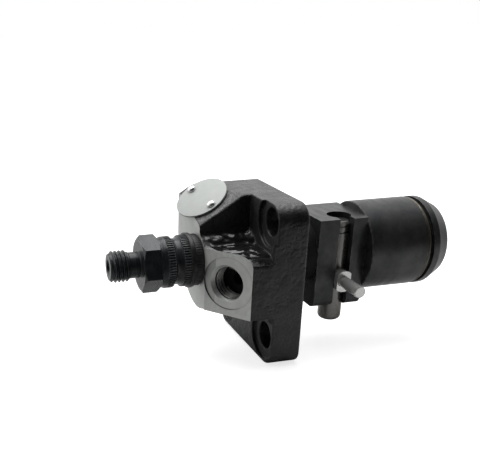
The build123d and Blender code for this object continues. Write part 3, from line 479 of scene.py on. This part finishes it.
def make_rivet_finish():
    """Bright plated rivet steel with small scuffs."""
    material, tree, shader, point = new_finish("rivet_bright", Metallic=1.0)
    grain = use_group(tree, surface_grain, Vector=point, Grain_per_metre=2600.0, Swell_per_metre=800.0)
    fill(tree, shader.inputs["Base Color"],
         mix_colours(tree, grain.outputs["Mottle"], (0.72, 0.72, 0.72, 1), (0.90, 0.90, 0.89, 1)))
    fill(tree, shader.inputs["Roughness"], ramp(tree, grain.outputs["Patches"], 0.0, 1.0, 0.14, 0.26))
    set_bump(tree, shader, grain.outputs["Height"], 0.06 * mm)
    return material


round_plate = bmesh.new()
bmesh.ops.create_circle(round_plate, cap_ends=True, segments=128, radius=plate_radius)
plate_top = bmesh.ops.extrude_face_region(round_plate, geom=list(round_plate.faces))["geom"]
bmesh.ops.translate(round_plate, vec=(0, 0, -plate_thickness),
                    verts=[item for item in plate_top if isinstance(item, bmesh.types.BMVert)])
plate_rims = [edge for edge in round_plate.edges if len(edge.link_faces) == 2
              and edge.calc_face_angle(0.0) > radians(60)]
bmesh.ops.bevel(round_plate, geom=plate_rims, offset=plate_rim_round, segments=3, profile=0.5, affect="EDGES",
                material=-1)
bmesh.ops.transform(round_plate, matrix=plate_place, verts=round_plate.verts)
add_piece("round_plate", round_plate, make_plate_finish(), "pump", replaced=("name_plate",))

rivets = bmesh.new()
dome_angles = [radians(90.0 * step / 10) for step in range(1, 11)]
dome = [(0.0, rivet_head_lift + rivet_head_height)]
dome += [(rivet_head_radius * sin(angle), rivet_head_lift + rivet_head_height * cos(angle))
         for angle in dome_angles]
dome += [(rivet_head_radius * 0.98, 0.0), (rivet_shank_radius, -0.02 * mm),
         (rivet_shank_radius, 0.1 * mm - rivet_shank_length), (0.0, -rivet_shank_length)]
for side in (-1, 1):
    verts = [rivets.verts.new((radius, 0.0, height)) for radius, height in dome]
    edges = [rivets.edges.new(pair) for pair in zip(verts, verts[1:])]
    bmesh.ops.spin(rivets, geom=verts + edges, cent=(0, 0, 0), axis=(0, 0, 1), angle=2 * pi, steps=32,
                   use_merge=True)
    moved = [vert for vert in rivets.verts if not vert.tag]
    rivet_place = plate_place @ rivet_line @ Matrix.Translation((0, side * rivet_spacing / 2, 0))
    bmesh.ops.transform(rivets, matrix=rivet_place, verts=moved)
    for vert in rivets.verts:
        vert.tag = True
add_piece("dome_rivets", rivets, make_rivet_finish(), "pump", replaced=("plate_rivets",))


# The delivery valve holder is turned from one steel bar and blackened: a union thread with a
# cone in its mouth, a slim shank, a chamfered hexagon, two serrated collars with a waist
# between them, and a stem that screws into the head.
holder_tip_x = -67.9 * mm
union_thread_radius = 6.0 * mm
union_thread_pitch = 1.5 * mm
union_thread_depth = 0.75 * mm
union_thread_end_x = -60.6 * mm
union_tip_chamfer = 1.1 * mm
holder_neck_radius = 4.95 * mm
hex_across_flats = 19.0 * mm
hex_start_x = -56.1 * mm
hex_end_x = -49.1 * mm
hex_face_radius = 9.6 * mm
hex_chamfer = 0.8 * mm
hex_corner_angle = radians(15.5)
outlet_cone_radius = 2.9 * mm
outlet_hole_radius = 1.5 * mm
outlet_cone_depth = 3.4 * mm
serration_count = 60
serration_depth = 0.45 * mm
serration_lowest = 8.9 * mm
first_ribs_x = (-46.78 * mm, -44.4 * mm)
second_ribs_x = (-40.7 * mm, -38.3 * mm)
crest_highlight_from_x = -46.79 * mm


def turned_relief(tree, rings, grain):
    """A height that is half turned rings and half grain."""
    return maths(tree, "ADD", maths(tree, "MULTIPLY", rings.outputs["Height"], 0.5),
                 maths(tree, "MULTIPLY", grain.outputs["Height"], 0.5))


def make_holder_finish():
    """Blackened steel with turned rings, bluish where the light catches it, painted highlights on the
    serration crests, and rubbed edges.
    """
    material, tree, shader, point = new_finish("holder_black_steel", Specular_IOR_Level=0.4, IOR=1.5)
    rings = use_group(tree, turned_rings, Vector=point, Rings_per_metre=2600.0)
    grain = use_group(tree, surface_grain, Vector=point, Grain_per_metre=1600.0, Swell_per_metre=330.0)
    wear = use_group(tree, edge_wear, Vector=point, Width=0.22 * mm, Breakup_per_metre=900.0)
    place = add_node(tree, "ShaderNodeSeparateXYZ", Vector=point)
    axis_away, _ = from_axis(tree, point, Vector(), Vector((1, 0, 0)))
    # Painted highlight: the crests of the serrated collars are made lighter.
    crest_highlight = maths(tree, "MULTIPLY", ramp(tree, axis_away, 9.45 * mm, 9.75 * mm, 0.0, 0.75),
                  maths(tree, "GREATER_THAN", place.outputs[0], crest_highlight_from_x))
    black = mix_colours(tree, grain.outputs["Patches"], (0.013, 0.0145, 0.0165, 1), (0.026, 0.029, 0.033, 1))
    black = mix_colours(tree, crest_highlight, black, (0.10, 0.105, 0.11, 1))
    fill(tree, shader.inputs["Base Color"],
         mix_colours(tree, maths(tree, "MULTIPLY", wear.outputs["Mask"], 0.6), black, (0.30, 0.31, 0.32, 1)))
    fill(tree, shader.inputs["Metallic"], ramp(tree, grain.outputs["Mottle"], 0.3, 0.7, 0.05, 0.2))
    fill(tree, shader.inputs["Roughness"], ramp(tree, rings.outputs["Streaks"], 0.3, 0.7, 0.24, 0.36))
    set_bump(tree, shader, turned_relief(tree, rings, grain), 0.035 * mm)
    return material


def set_radius(vert, radius):
    """Moves a vertex to the radius about the pump axis, at its own angle."""
    now = hypot(vert.co.y, vert.co.z)
    if now > 0:
        vert.co.y *= radius / now
        vert.co.z *= radius / now


def next_ring(bm, ring_edges, x, radius):
    """Extrudes a round edge loop to a new place and radius, and returns the new loop's edges."""
    made = bmesh.ops.extrude_edge_only(bm, edges=ring_edges)["geom"]
    for item in made:
        if isinstance(item, bmesh.types.BMVert):
            item.co.x = x
            set_radius(item, radius)
    return [item for item in made if isinstance(item, bmesh.types.BMEdge) and item.is_boundary]


def boundary_near(bm, x):
    """The open edges of the mesh that lie at x."""
    return [edge for edge in bm.edges if edge.is_boundary
            and all(abs(vert.co.x - x) < 0.002 * mm for vert in edge.verts)]


holder_finish = make_holder_finish()

union_thread = bmesh.new()
union_root_radius = union_thread_radius - union_thread_depth
union_profile = [(0.0, union_root_radius), (0.12, union_root_radius), (0.47, union_thread_radius),
                 (0.60, union_thread_radius), (1.0, union_root_radius)]
thread_turns = round((union_thread_end_x - holder_tip_x) / union_thread_pitch) + 3
thread_start_x = holder_tip_x - 1.5 * union_thread_pitch
thread_line = [(thread_start_x + share * union_thread_pitch, radius) for share, radius in union_profile]
spun_line(union_thread, thread_line, thread_turns, union_thread_pitch, steps=96)
for plane_x, outward in ((holder_tip_x, -1), (union_thread_end_x, 1)):
    whole_thread = union_thread.verts[:] + union_thread.edges[:] + union_thread.faces[:]
    bmesh.ops.bisect_plane(union_thread, geom=whole_thread, dist=0.0001 * mm, plane_co=(plane_x, 0, 0),
                           plane_no=(outward, 0, 0), clear_outer=True)
for vert in union_thread.verts:
    tip_limit = union_thread_radius - union_tip_chamfer + (vert.co.x - holder_tip_x)
    runout_limit = holder_neck_radius + 0.3 * mm + (union_thread_end_x - vert.co.x) * 1.2
    limit = min(tip_limit, runout_limit)
    if hypot(vert.co.y, vert.co.z) > limit:
        set_radius(vert, limit)
ring = boundary_near(union_thread, holder_tip_x)
ring = next_ring(union_thread, ring, holder_tip_x, outlet_cone_radius)
ring = next_ring(union_thread, ring, holder_tip_x + outlet_cone_depth, outlet_hole_radius)
ring = next_ring(union_thread, ring, holder_tip_x + 3 * outlet_cone_depth, outlet_hole_radius)
bmesh.ops.holes_fill(union_thread, edges=ring, sides=0)
ring = boundary_near(union_thread, union_thread_end_x)
ring = next_ring(union_thread, ring, union_thread_end_x + 0.4 * mm, holder_neck_radius)
ring = next_ring(union_thread, ring, hex_start_x - 0.4 * mm, holder_neck_radius)
ring = next_ring(union_thread, ring, hex_start_x + 0.2 * mm, holder_neck_radius + 0.5 * mm)
bmesh.ops.holes_fill(union_thread, edges=ring, sides=0)
add_piece("outlet_union_thread", union_thread, holder_finish, "pump",
          replaced=("delivery_valve_holder",), smooth_angle=28.0)


def hexagon_radius(angle):
    """The hexagon's radius about the pump axis at an angle from +Y."""
    within = (angle - hex_corner_angle + pi / 6) % (pi / 3) - pi / 6
    return hex_across_flats / 2 / cos(pi / 6 - abs(within))


hexagon = bmesh.new()
hex_rings = 7
chamfer_rise = hex_across_flats / 2 / cos(pi / 6) - hex_face_radius
hex_core_radius = holder_neck_radius - 1 * mm
hex_line = [(hex_start_x, hex_core_radius), (hex_start_x, hex_face_radius)]
hex_line += [(hex_start_x + hex_chamfer * step / hex_rings, hex_face_radius + chamfer_rise * step / hex_rings)
             for step in range(1, hex_rings + 1)]
hex_line += [(hex_end_x - hex_chamfer * step / hex_rings, hex_face_radius + chamfer_rise * step / hex_rings)
             for step in range(hex_rings, 0, -1)]
hex_line += [(hex_end_x, hex_face_radius), (hex_end_x, hex_core_radius), (hex_start_x, hex_core_radius)]
spun_line(hexagon, hex_line, steps=144)
bmesh.ops.rotate(hexagon, cent=(0, 0, 0), matrix=Matrix.Rotation(hex_corner_angle, 3, "X"),
                 verts=hexagon.verts)
for vert in hexagon.verts:
    flat_limit = hexagon_radius(atan2(vert.co.z, vert.co.y))
    if hypot(vert.co.y, vert.co.z) > flat_limit:
        set_radius(vert, flat_limit)
add_piece("holder_hexagon", hexagon, holder_finish, "pump", smooth_angle=22.0)


def serrate(bm, start_x, end_x, depth):
    """Presses straight serrations into a spun band between two places along the axis."""
    for vert in bm.verts:
        radius = hypot(vert.co.y, vert.co.z)
        if start_x < vert.co.x < end_x and radius > serration_lowest:
            phase = (atan2(vert.co.z, vert.co.y) / (2 * pi) * serration_count) % 1.0
            set_radius(vert, radius - depth * (1 if 0.4 < phase < 0.9 else 0))


def in_metres(line):
    """A line of (x, radius) points given in millimetres."""
    return [(x * mm, radius * mm) for x, radius in line]


collars = bmesh.new()
collar_line = [(-49.8, 8.0), (-49.8, 9.25), (-48.5, 9.25), (-48.35, 9.32), (-47.45, 9.78), (-47.25, 9.8),
               (-47.05, 9.8), (-47.0, 9.72), (-46.8, 9.72), (-46.75, 9.8), (-44.5, 9.8), (-44.25, 9.72),
               (-44.15, 9.45), (-43.9, 9.15), (-43.3, 8.85), (-42.6, 8.75), (-41.9, 8.82), (-41.2, 9.05),
               (-40.9, 9.3), (-40.8, 9.7), (-40.6, 9.8), (-38.45, 9.8), (-38.2, 9.7), (-38.2, 7.95),
               (-25.0, 7.95), (-25.0, 5.2), (-46.0, 5.2), (-46.0, 1.5), (-55.8, 1.5), (-55.8, 4.2),
               (-49.8, 4.2), (-49.8, 8.0)]
spun_line(collars, in_metres(collar_line), steps=4 * serration_count)
serrate(collars, *first_ribs_x, serration_depth)
serrate(collars, *second_ribs_x, serration_depth)
add_piece("holder_collars", collars, holder_finish, "pump", smooth_angle=32.0)


# Two blackened rings fill the gap between the holder and the head: a thin smooth sealing
# ring, and a wider lock ring with faint serrations round its rim.
def make_ring_finish():
    """Dull black oxide, a little brown with oil."""
    material, tree, shader, point = new_finish("ring_dull_black", Metallic=0.3, Specular_IOR_Level=0.45)
    grain = use_group(tree, surface_grain, Vector=point, Grain_per_metre=1900.0, Swell_per_metre=420.0)
    wear = use_group(tree, edge_wear, Vector=point, Width=0.18 * mm, Breakup_per_metre=1100.0)
    black = mix_colours(tree, grain.outputs["Patches"], (0.012, 0.012, 0.013, 1), (0.028, 0.027, 0.027, 1))
    fill(tree, shader.inputs["Base Color"],
         mix_colours(tree, maths(tree, "MULTIPLY", wear.outputs["Mask"], 0.4), black, (0.16, 0.16, 0.16, 1)))
    fill(tree, shader.inputs["Roughness"], ramp(tree, grain.outputs["Mottle"], 0.3, 0.7, 0.34, 0.5))
    set_bump(tree, shader, grain.outputs["Height"], 0.03 * mm)
    return material


ring_finish = make_ring_finish()

seal_ring = bmesh.new()
seal_line = [(-38.2, 8.0), (-38.2, 10.25), (-38.05, 10.43), (-37.8, 10.5), (-36.8, 10.5), (-36.55, 10.43),
             (-36.4, 10.25), (-36.4, 8.0), (-38.2, 8.0)]
spun_line(seal_ring, in_metres(seal_line), steps=128)
add_piece("smooth_seal_ring", seal_ring, ring_finish, "pump", replaced=("holder_seal_ring",))

lock_ribs_x = (-36.3 * mm, -33.7 * mm)
lock_ribs_depth = 0.14 * mm
lock_ring = bmesh.new()
lock_line = [(-36.4, 8.0), (-36.4, 9.7), (-36.2, 9.85), (-33.85, 9.85), (-33.4, 9.5), (-33.2, 9.25),
             (-33.2, 8.0), (-36.4, 8.0)]
spun_line(lock_ring, in_metres(lock_line), steps=4 * serration_count)
serrate(lock_ring, *lock_ribs_x, lock_ribs_depth)
add_piece("serrated_lock_ring", lock_ring, ring_finish, "pump",
          replaced=("holder_lock_ring",))


# The guide body is one steel turning with a milled block for the rack. It is blackened in a
# hot salt bath, so the round parts keep a satin sheen with fine turned rings. Its neck behind
# the flange is painted near black with little sheen, as painted shade from the flange, and the
# tappet's bore is honed.
block_left_x = 10.6 * mm
honed_start_x = 30.5 * mm
honed_radius = 13.2 * mm


def make_guide_finish():
    """Satin black oxide on turned and milled steel, rubbed grey on the edges, with painted shade behind the
    flange.
    """
    material, tree, shader, point = new_finish("guide_black_oxide", IOR=1.55)
    rings = use_group(tree, turned_rings, Vector=point, Rings_per_metre=2100.0)
    grain = use_group(tree, surface_grain, Vector=point, Grain_per_metre=1300.0, Swell_per_metre=160.0,
                      Swell_share=0.4)
    wear = use_group(tree, edge_wear, Vector=point, Width=0.3 * mm, Breakup_per_metre=500.0)
    place = add_node(tree, "ShaderNodeSeparateXYZ", Vector=point)
    axis_away, _ = from_axis(tree, point, Vector(), Vector((1, 0, 0)))
    honed = maths(tree, "MULTIPLY", maths(tree, "LESS_THAN", axis_away, honed_radius),
                  maths(tree, "GREATER_THAN", place.outputs[0], honed_start_x))
    behind_flange = maths(tree, "LESS_THAN", place.outputs[0], block_left_x + skin)
    black = mix_colours(tree, grain.outputs["Patches"], (0.030, 0.031, 0.033, 1), (0.055, 0.055, 0.056, 1))
    # Painted shade: behind the flange the colour goes near black and the sheen drops.
    flange_shade = maths(tree, "MULTIPLY", behind_flange, 0.8)
    black = mix_colours(tree, flange_shade, black, (0.006, 0.006, 0.006, 1))
    rubbed = maths(tree, "MULTIPLY", wear.outputs["Mask"], 0.7)
    worn = mix_colours(tree, rubbed, black, (0.36, 0.36, 0.35, 1))
    fill(tree, shader.inputs["Specular IOR Level"], ramp(tree, behind_flange, 0.0, 1.0, 0.55, 0.2))
    fill(tree, shader.inputs["Base Color"], mix_colours(tree, honed, worn, (0.32, 0.32, 0.31, 1)))
    fill(tree, shader.inputs["Metallic"],
         maths(tree, "MULTIPLY", ramp(tree, grain.outputs["Mottle"], 0.3, 0.7, 0.5, 0.7),
               ramp(tree, behind_flange, 0.0, 1.0, 1.0, 0.2)))
    fill(tree, shader.inputs["Roughness"],
         maths(tree, "MAXIMUM", ramp(tree, rings.outputs["Streaks"], 0.3, 0.7, 0.30, 0.44),
               maths(tree, "MULTIPLY", behind_flange, 0.75)))
    set_bump(tree, shader, turned_relief(tree, rings, grain), 0.035 * mm)
    return material


dress_node("guide_body", make_guide_finish())


# The wire ring is one turn of oiled spring wire, sprung into the guide cylinder's groove.
# It keeps the tappet's guide pin from coming out.
wire_radius = 0.6 * mm
wire_ring_x = 54.6 * mm
wire_circle_radius = 16.8 * mm
wire_gap = radians(14.0)


def make_wire_finish():
    """Drawn spring wire with a brown film of oil and lines along the wire."""
    material, tree, shader, point = new_finish("oiled_spring_wire", Metallic=0.85)
    rings = use_group(tree, turned_rings, Vector=point, Rings_per_metre=5200.0)
    grain = use_group(tree, surface_grain, Vector=point, Grain_per_metre=1500.0, Swell_per_metre=300.0)
    fill(tree, shader.inputs["Base Color"],
         mix_colours(tree, grain.outputs["Patches"], (0.06, 0.053, 0.04, 1), (0.12, 0.107, 0.084, 1)))
    fill(tree, shader.inputs["Roughness"], ramp(tree, rings.outputs["Streaks"], 0.3, 0.7, 0.3, 0.46))
    set_bump(tree, shader, rings.outputs["Height"], 0.03 * mm)
    return material


wire_ring = bmesh.new()
bmesh.ops.create_circle(wire_ring, cap_ends=True, segments=20, radius=wire_radius)
bmesh.ops.translate(wire_ring, vec=(wire_ring_x, wire_circle_radius, 0), verts=wire_ring.verts)
bmesh.ops.spin(wire_ring, geom=wire_ring.verts[:] + wire_ring.edges[:] + wire_ring.faces[:], cent=(0, 0, 0),
               axis=(1, 0, 0), angle=2 * pi - wire_gap, steps=120, use_duplicate=False)
add_piece("wire_ring", wire_ring, make_wire_finish(), "pump", replaced=("retaining_ring",))


# The control rack is a ground steel rod, a little stained with oil at its lower end, with its
# teeth side painted near black as painted shade. Its collar and pin are bright ground steel.
stain_z = (-20.0 * mm, -23.5 * mm)
teeth_y = (-8.3 * mm, -7.5 * mm)
teeth_low_z = (-16.0 * mm, -15.2 * mm)


def make_ground_finish(name, metallic, dark, light, rough_low, rough_high, line_scale, stain=0.0,
                       teeth_shade_strength=0.0):
    """Ground steel with fine lines across its axis, an oil stain low on the rod, and painted shade on the
    teeth side.
    """
    material, tree, shader, point = new_finish(name, Metallic=metallic)
    stretched = add_node(tree, "ShaderNodeMapping", Vector=point, Scale=line_scale)
    lines = noise(tree, stretched.outputs[0], 1.0, 3.0)
    grain = use_group(tree, surface_grain, Vector=point, Grain_per_metre=1500.0, Swell_per_metre=240.0)
    place = add_node(tree, "ShaderNodeSeparateXYZ", Vector=point)
    low = ramp(tree, place.outputs[2], *stain_z)
    steel = mix_colours(tree, lines, dark, light)
    stained = mix_colours(tree, maths(tree, "MULTIPLY", low, stain), steel, (0.15, 0.12, 0.10, 1))
    # Painted shade: the teeth side of the rack is made near black.
    teeth_shade = maths(tree, "MULTIPLY", ramp(tree, place.outputs[1], *teeth_y, 0.0, teeth_shade_strength),
                    ramp(tree, place.outputs[2], *teeth_low_z))
    spotted = mix_colours(tree, maths(tree, "MULTIPLY", grain.outputs["Patches"], 0.18), stained,
                          (0.2, 0.18, 0.16, 1))
    fill(tree, shader.inputs["Base Color"], mix_colours(tree, teeth_shade, spotted, (0.012, 0.012, 0.012, 1)))
    fill(tree, shader.inputs["Roughness"],
         maths(tree, "MAXIMUM", ramp(tree, lines, 0.3, 0.7, rough_low, rough_high),
               maths(tree, "MULTIPLY", teeth_shade, 0.6)))
    set_bump(tree, shader, lines, 0.0012 * mm)
    return material


rack_finish = make_ground_finish("rack_ground_steel", 0.8, (0.18, 0.176, 0.168, 1), (0.23, 0.225, 0.215, 1),
                                 0.26, 0.32, (500.0, 500.0, 7000.0), stain=0.2, teeth_shade_strength=1.0)
dress_node("control_rack", rack_finish)
pin_finish = make_ground_finish("pin_ground_steel", 0.65, (0.70, 0.70, 0.685, 1), (0.80, 0.80, 0.785, 1),
                                0.14, 0.24, (700.0, 9000.0, 700.0))
dress_node("rack_collar", pin_finish)
dress_node("rack_pin", pin_finish)


# Inside, the pumping element is lapped steel, the pinion and the tappet are hardened steel
# with a faint straw colour, the springs and their seats are oiled spring steel, the gasket
# is copper and the roller turns on a bronze bush.
def make_inner_finish(name, dark, light, rough_low, rough_high):
    """Turned or lapped metal with rings about the pump axis and a thin uneven oil film."""
    material, tree, shader, point = new_finish(name, Metallic=1.0)
    rings = use_group(tree, turned_rings, Vector=point, Rings_per_metre=3000.0)
    grain = use_group(tree, surface_grain, Vector=point, Grain_per_metre=1400.0, Swell_per_metre=260.0)
    wear = use_group(tree, edge_wear, Vector=point, Width=0.2 * mm, Breakup_per_metre=800.0)
    tone = mix_colours(tree, grain.outputs["Patches"], dark, light)
    rubbed = maths(tree, "MULTIPLY", wear.outputs["Mask"], 0.5)
    fill(tree, shader.inputs["Base Color"], mix_colours(tree, rubbed, tone, (0.75, 0.75, 0.74, 1)))
    fill(tree, shader.inputs["Roughness"],
         ramp(tree, rings.outputs["Streaks"], 0.3, 0.7, rough_low, rough_high))
    set_bump(tree, shader, rings.outputs["Height"], 0.02 * mm)
    return material


lapped_finish = make_inner_finish("lapped_steel", (0.48, 0.48, 0.49, 1), (0.64, 0.64, 0.64, 1), 0.18, 0.3)
hardened_finish = make_inner_finish("hardened_steel", (0.24, 0.23, 0.22, 1), (0.37, 0.35, 0.32, 1), 0.26, 0.4)
spring_finish = make_inner_finish("spring_steel", (0.17, 0.165, 0.16, 1), (0.28, 0.27, 0.26, 1), 0.28, 0.42)
copper_finish = make_inner_finish("annealed_copper", (0.55, 0.27, 0.17, 1), (0.74, 0.40, 0.27, 1), 0.3, 0.46)
bronze_finish = make_inner_finish("turned_bronze", (0.42, 0.27, 0.10, 1), (0.58, 0.40, 0.18, 1), 0.26, 0.4)

inner_finishes = {
    lapped_finish: ("barrel", "barrel_locating_pin", "plunger", "delivery_valve", "delivery_valve_seat",
                    "volume_reducer", "adjusting_shim", "tappet_roller", "roller_pin", "tappet_guide_pin"),
    hardened_finish: ("control_pinion", "tappet"),
    spring_finish: ("upper_spring_seat", "lower_spring_seat"),
    copper_finish: ("delivery_valve_gasket",),
    bronze_finish: ("roller_bush",),
}
for inner_finish, node_names in inner_finishes.items():
    for node_name in node_names:
        dress_node(node_name, inner_finish)


def make_spring(node_name, piece_name):
    """A copy of the CAD spring as a piece of its own on the pump body, in place of the CAD node."""
    wire = bmesh.new()
    wire.from_mesh(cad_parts[node_name].data)
    spring = add_piece(piece_name, wire, spring_finish, "pump", replaced=(node_name,),
                       smooth_angle=40.0, recalculate=False)
    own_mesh(spring)


make_spring("plunger_spring", "plunger_return_coil")
make_spring("delivery_valve_spring", "valve_closing_coil")


# The studio is a flat pale floor under one large soft light, a little behind the pump. For
# everything but the camera, the floor's colour is painted dark towards the front-left, as
# painted shade. The far side of the room is pale and the camera's side is dark, so the black
# parts keep their shape. What the camera sees past the pump is plain white.
floor_z = -37.2 * mm
floor_half_width = 4.0
floor_glow = 0.74
light_place = (0.0, 0.26, 0.70)
light_width = 0.7
light_watts = 4.6

studio = bmesh.new()
bmesh.ops.create_grid(studio, x_segments=1, y_segments=1, size=floor_half_width)
bmesh.ops.translate(studio, vec=(0, 0, floor_z), verts=studio.verts)
studio_mesh = bpy.data.meshes.new("studio_floor")
studio.to_mesh(studio_mesh)
studio.free()
studio_floor = bpy.data.objects.new("studio_floor", studio_mesh)
bpy.context.scene.collection.objects.link(studio_floor)
floor_finish, floor_tree, floor_shader, floor_point = new_finish("studio_pale", Specular_IOR_Level=0.1)
floor_tone = noise(floor_tree, floor_point, 9.0, 2.0)
floor_seen = add_node(floor_tree, "ShaderNodeLightPath").outputs["Is Camera Ray"]
floor_place = add_node(floor_tree, "ShaderNodeSeparateXYZ", Vector=floor_point)
# Painted shade: except for camera rays, the floor's colour goes dark towards -X and the front-left.
floor_slant = maths(floor_tree, "MULTIPLY_ADD", floor_place.outputs[0], 0.9, floor_place.outputs[1])
floor_painted_light = maths(floor_tree, "MULTIPLY", ramp(floor_tree, floor_slant, -0.15, -0.045, 0.2, 1.0),
                  ramp(floor_tree, floor_place.outputs[0], -0.16, -0.02, 0.85, 1.0))
floor_painted_light = maths(floor_tree, "MAXIMUM", floor_seen, floor_painted_light)
floor_pale = mix_colours(floor_tree, floor_tone, (0.72, 0.72, 0.72, 1), (0.75, 0.75, 0.75, 1))
fill(floor_tree, floor_shader.inputs["Base Color"],
     mix_colours(floor_tree, floor_painted_light, (0.0, 0.0, 0.0, 1), floor_pale))
fill(floor_tree, floor_shader.inputs["Roughness"], ramp(floor_tree, floor_tone, 0.3, 0.7, 0.7, 0.8))
floor_shader.inputs["Emission Color"].default_value = (1.0, 1.0, 1.0, 1.0)
fill(floor_tree, floor_shader.inputs["Emission Strength"],
     maths(floor_tree, "MULTIPLY", floor_seen, floor_glow))
finish_mesh(studio_floor, floor_finish)


light = bpy.data.lights.new("overhead_light", "AREA")
light.shape = "SQUARE"
light.size = light_width
light.energy = light_watts
lamp = bpy.data.objects.new("overhead_light", light)
lamp.location = light_place
lamp.rotation_euler = (-Vector(light_place)).to_track_quat("-Z", "Y").to_euler()
bpy.context.scene.collection.objects.link(lamp)

world = bpy.data.worlds.new("studio_light")
bpy.context.scene.world = world
world.use_nodes = True
world_tree = world.node_tree
world_side = add_node(world_tree, "ShaderNodeSeparateXYZ",
                      Vector=world_tree.nodes.new("ShaderNodeTexCoord").outputs["Generated"])
room_light = maths(world_tree, "MULTIPLY", ramp(world_tree, world_side.outputs[1], -0.45, 0.35, 0.03, 1.0),
                   ramp(world_tree, world_side.outputs[0], -0.8, -0.1, 1.4, 1.0))
world_seen = add_node(world_tree, "ShaderNodeLightPath").outputs["Is Camera Ray"]
backdrop = world_tree.nodes["Background"]
fill(world_tree, backdrop.inputs["Strength"], maths(world_tree, "MAXIMUM", room_light, world_seen))
backdrop.inputs["Color"].default_value = (1.0, 1.0, 1.0, 1.0)
bpy.context.scene.view_settings.view_transform = "Standard"

# The camera stands in front of the pump, left of it and above it, as in the photograph. The
# photograph is a cut from a larger picture, so the lens is shifted.
photo_width = 480
photo_height = 474
focal_pixels = 711.9
axis_pixel = (115.9, 307.8)
camera_place = Vector((-118.7, -244.8, 87.6)) * mm
camera_azimuth = radians(-12.32)
camera_elevation = radians(22.57)
camera_roll = radians(-1.23)

camera_data = bpy.data.cameras.new("photo_camera")
camera = bpy.data.objects.new("photo_camera", camera_data)
bpy.context.scene.collection.objects.link(camera)
camera_data.sensor_fit = "HORIZONTAL"
camera_data.sensor_width = 36.0
camera_data.lens = focal_pixels / photo_width * camera_data.sensor_width
camera_data.shift_x = (photo_width / 2 - axis_pixel[0]) / photo_width
camera_data.shift_y = (axis_pixel[1] - photo_height / 2) / photo_width
camera_data.clip_start = 0.01
camera_data.clip_end = 20.0
camera_turn = (Matrix.Rotation(camera_azimuth, 4, "Z") @ Matrix.Rotation(pi / 2 - camera_elevation, 4, "X")
               @ Matrix.Rotation(camera_roll, 4, "Z"))
camera.matrix_world = Matrix.Translation(camera_place) @ camera_turn
bpy.context.scene.camera = camera
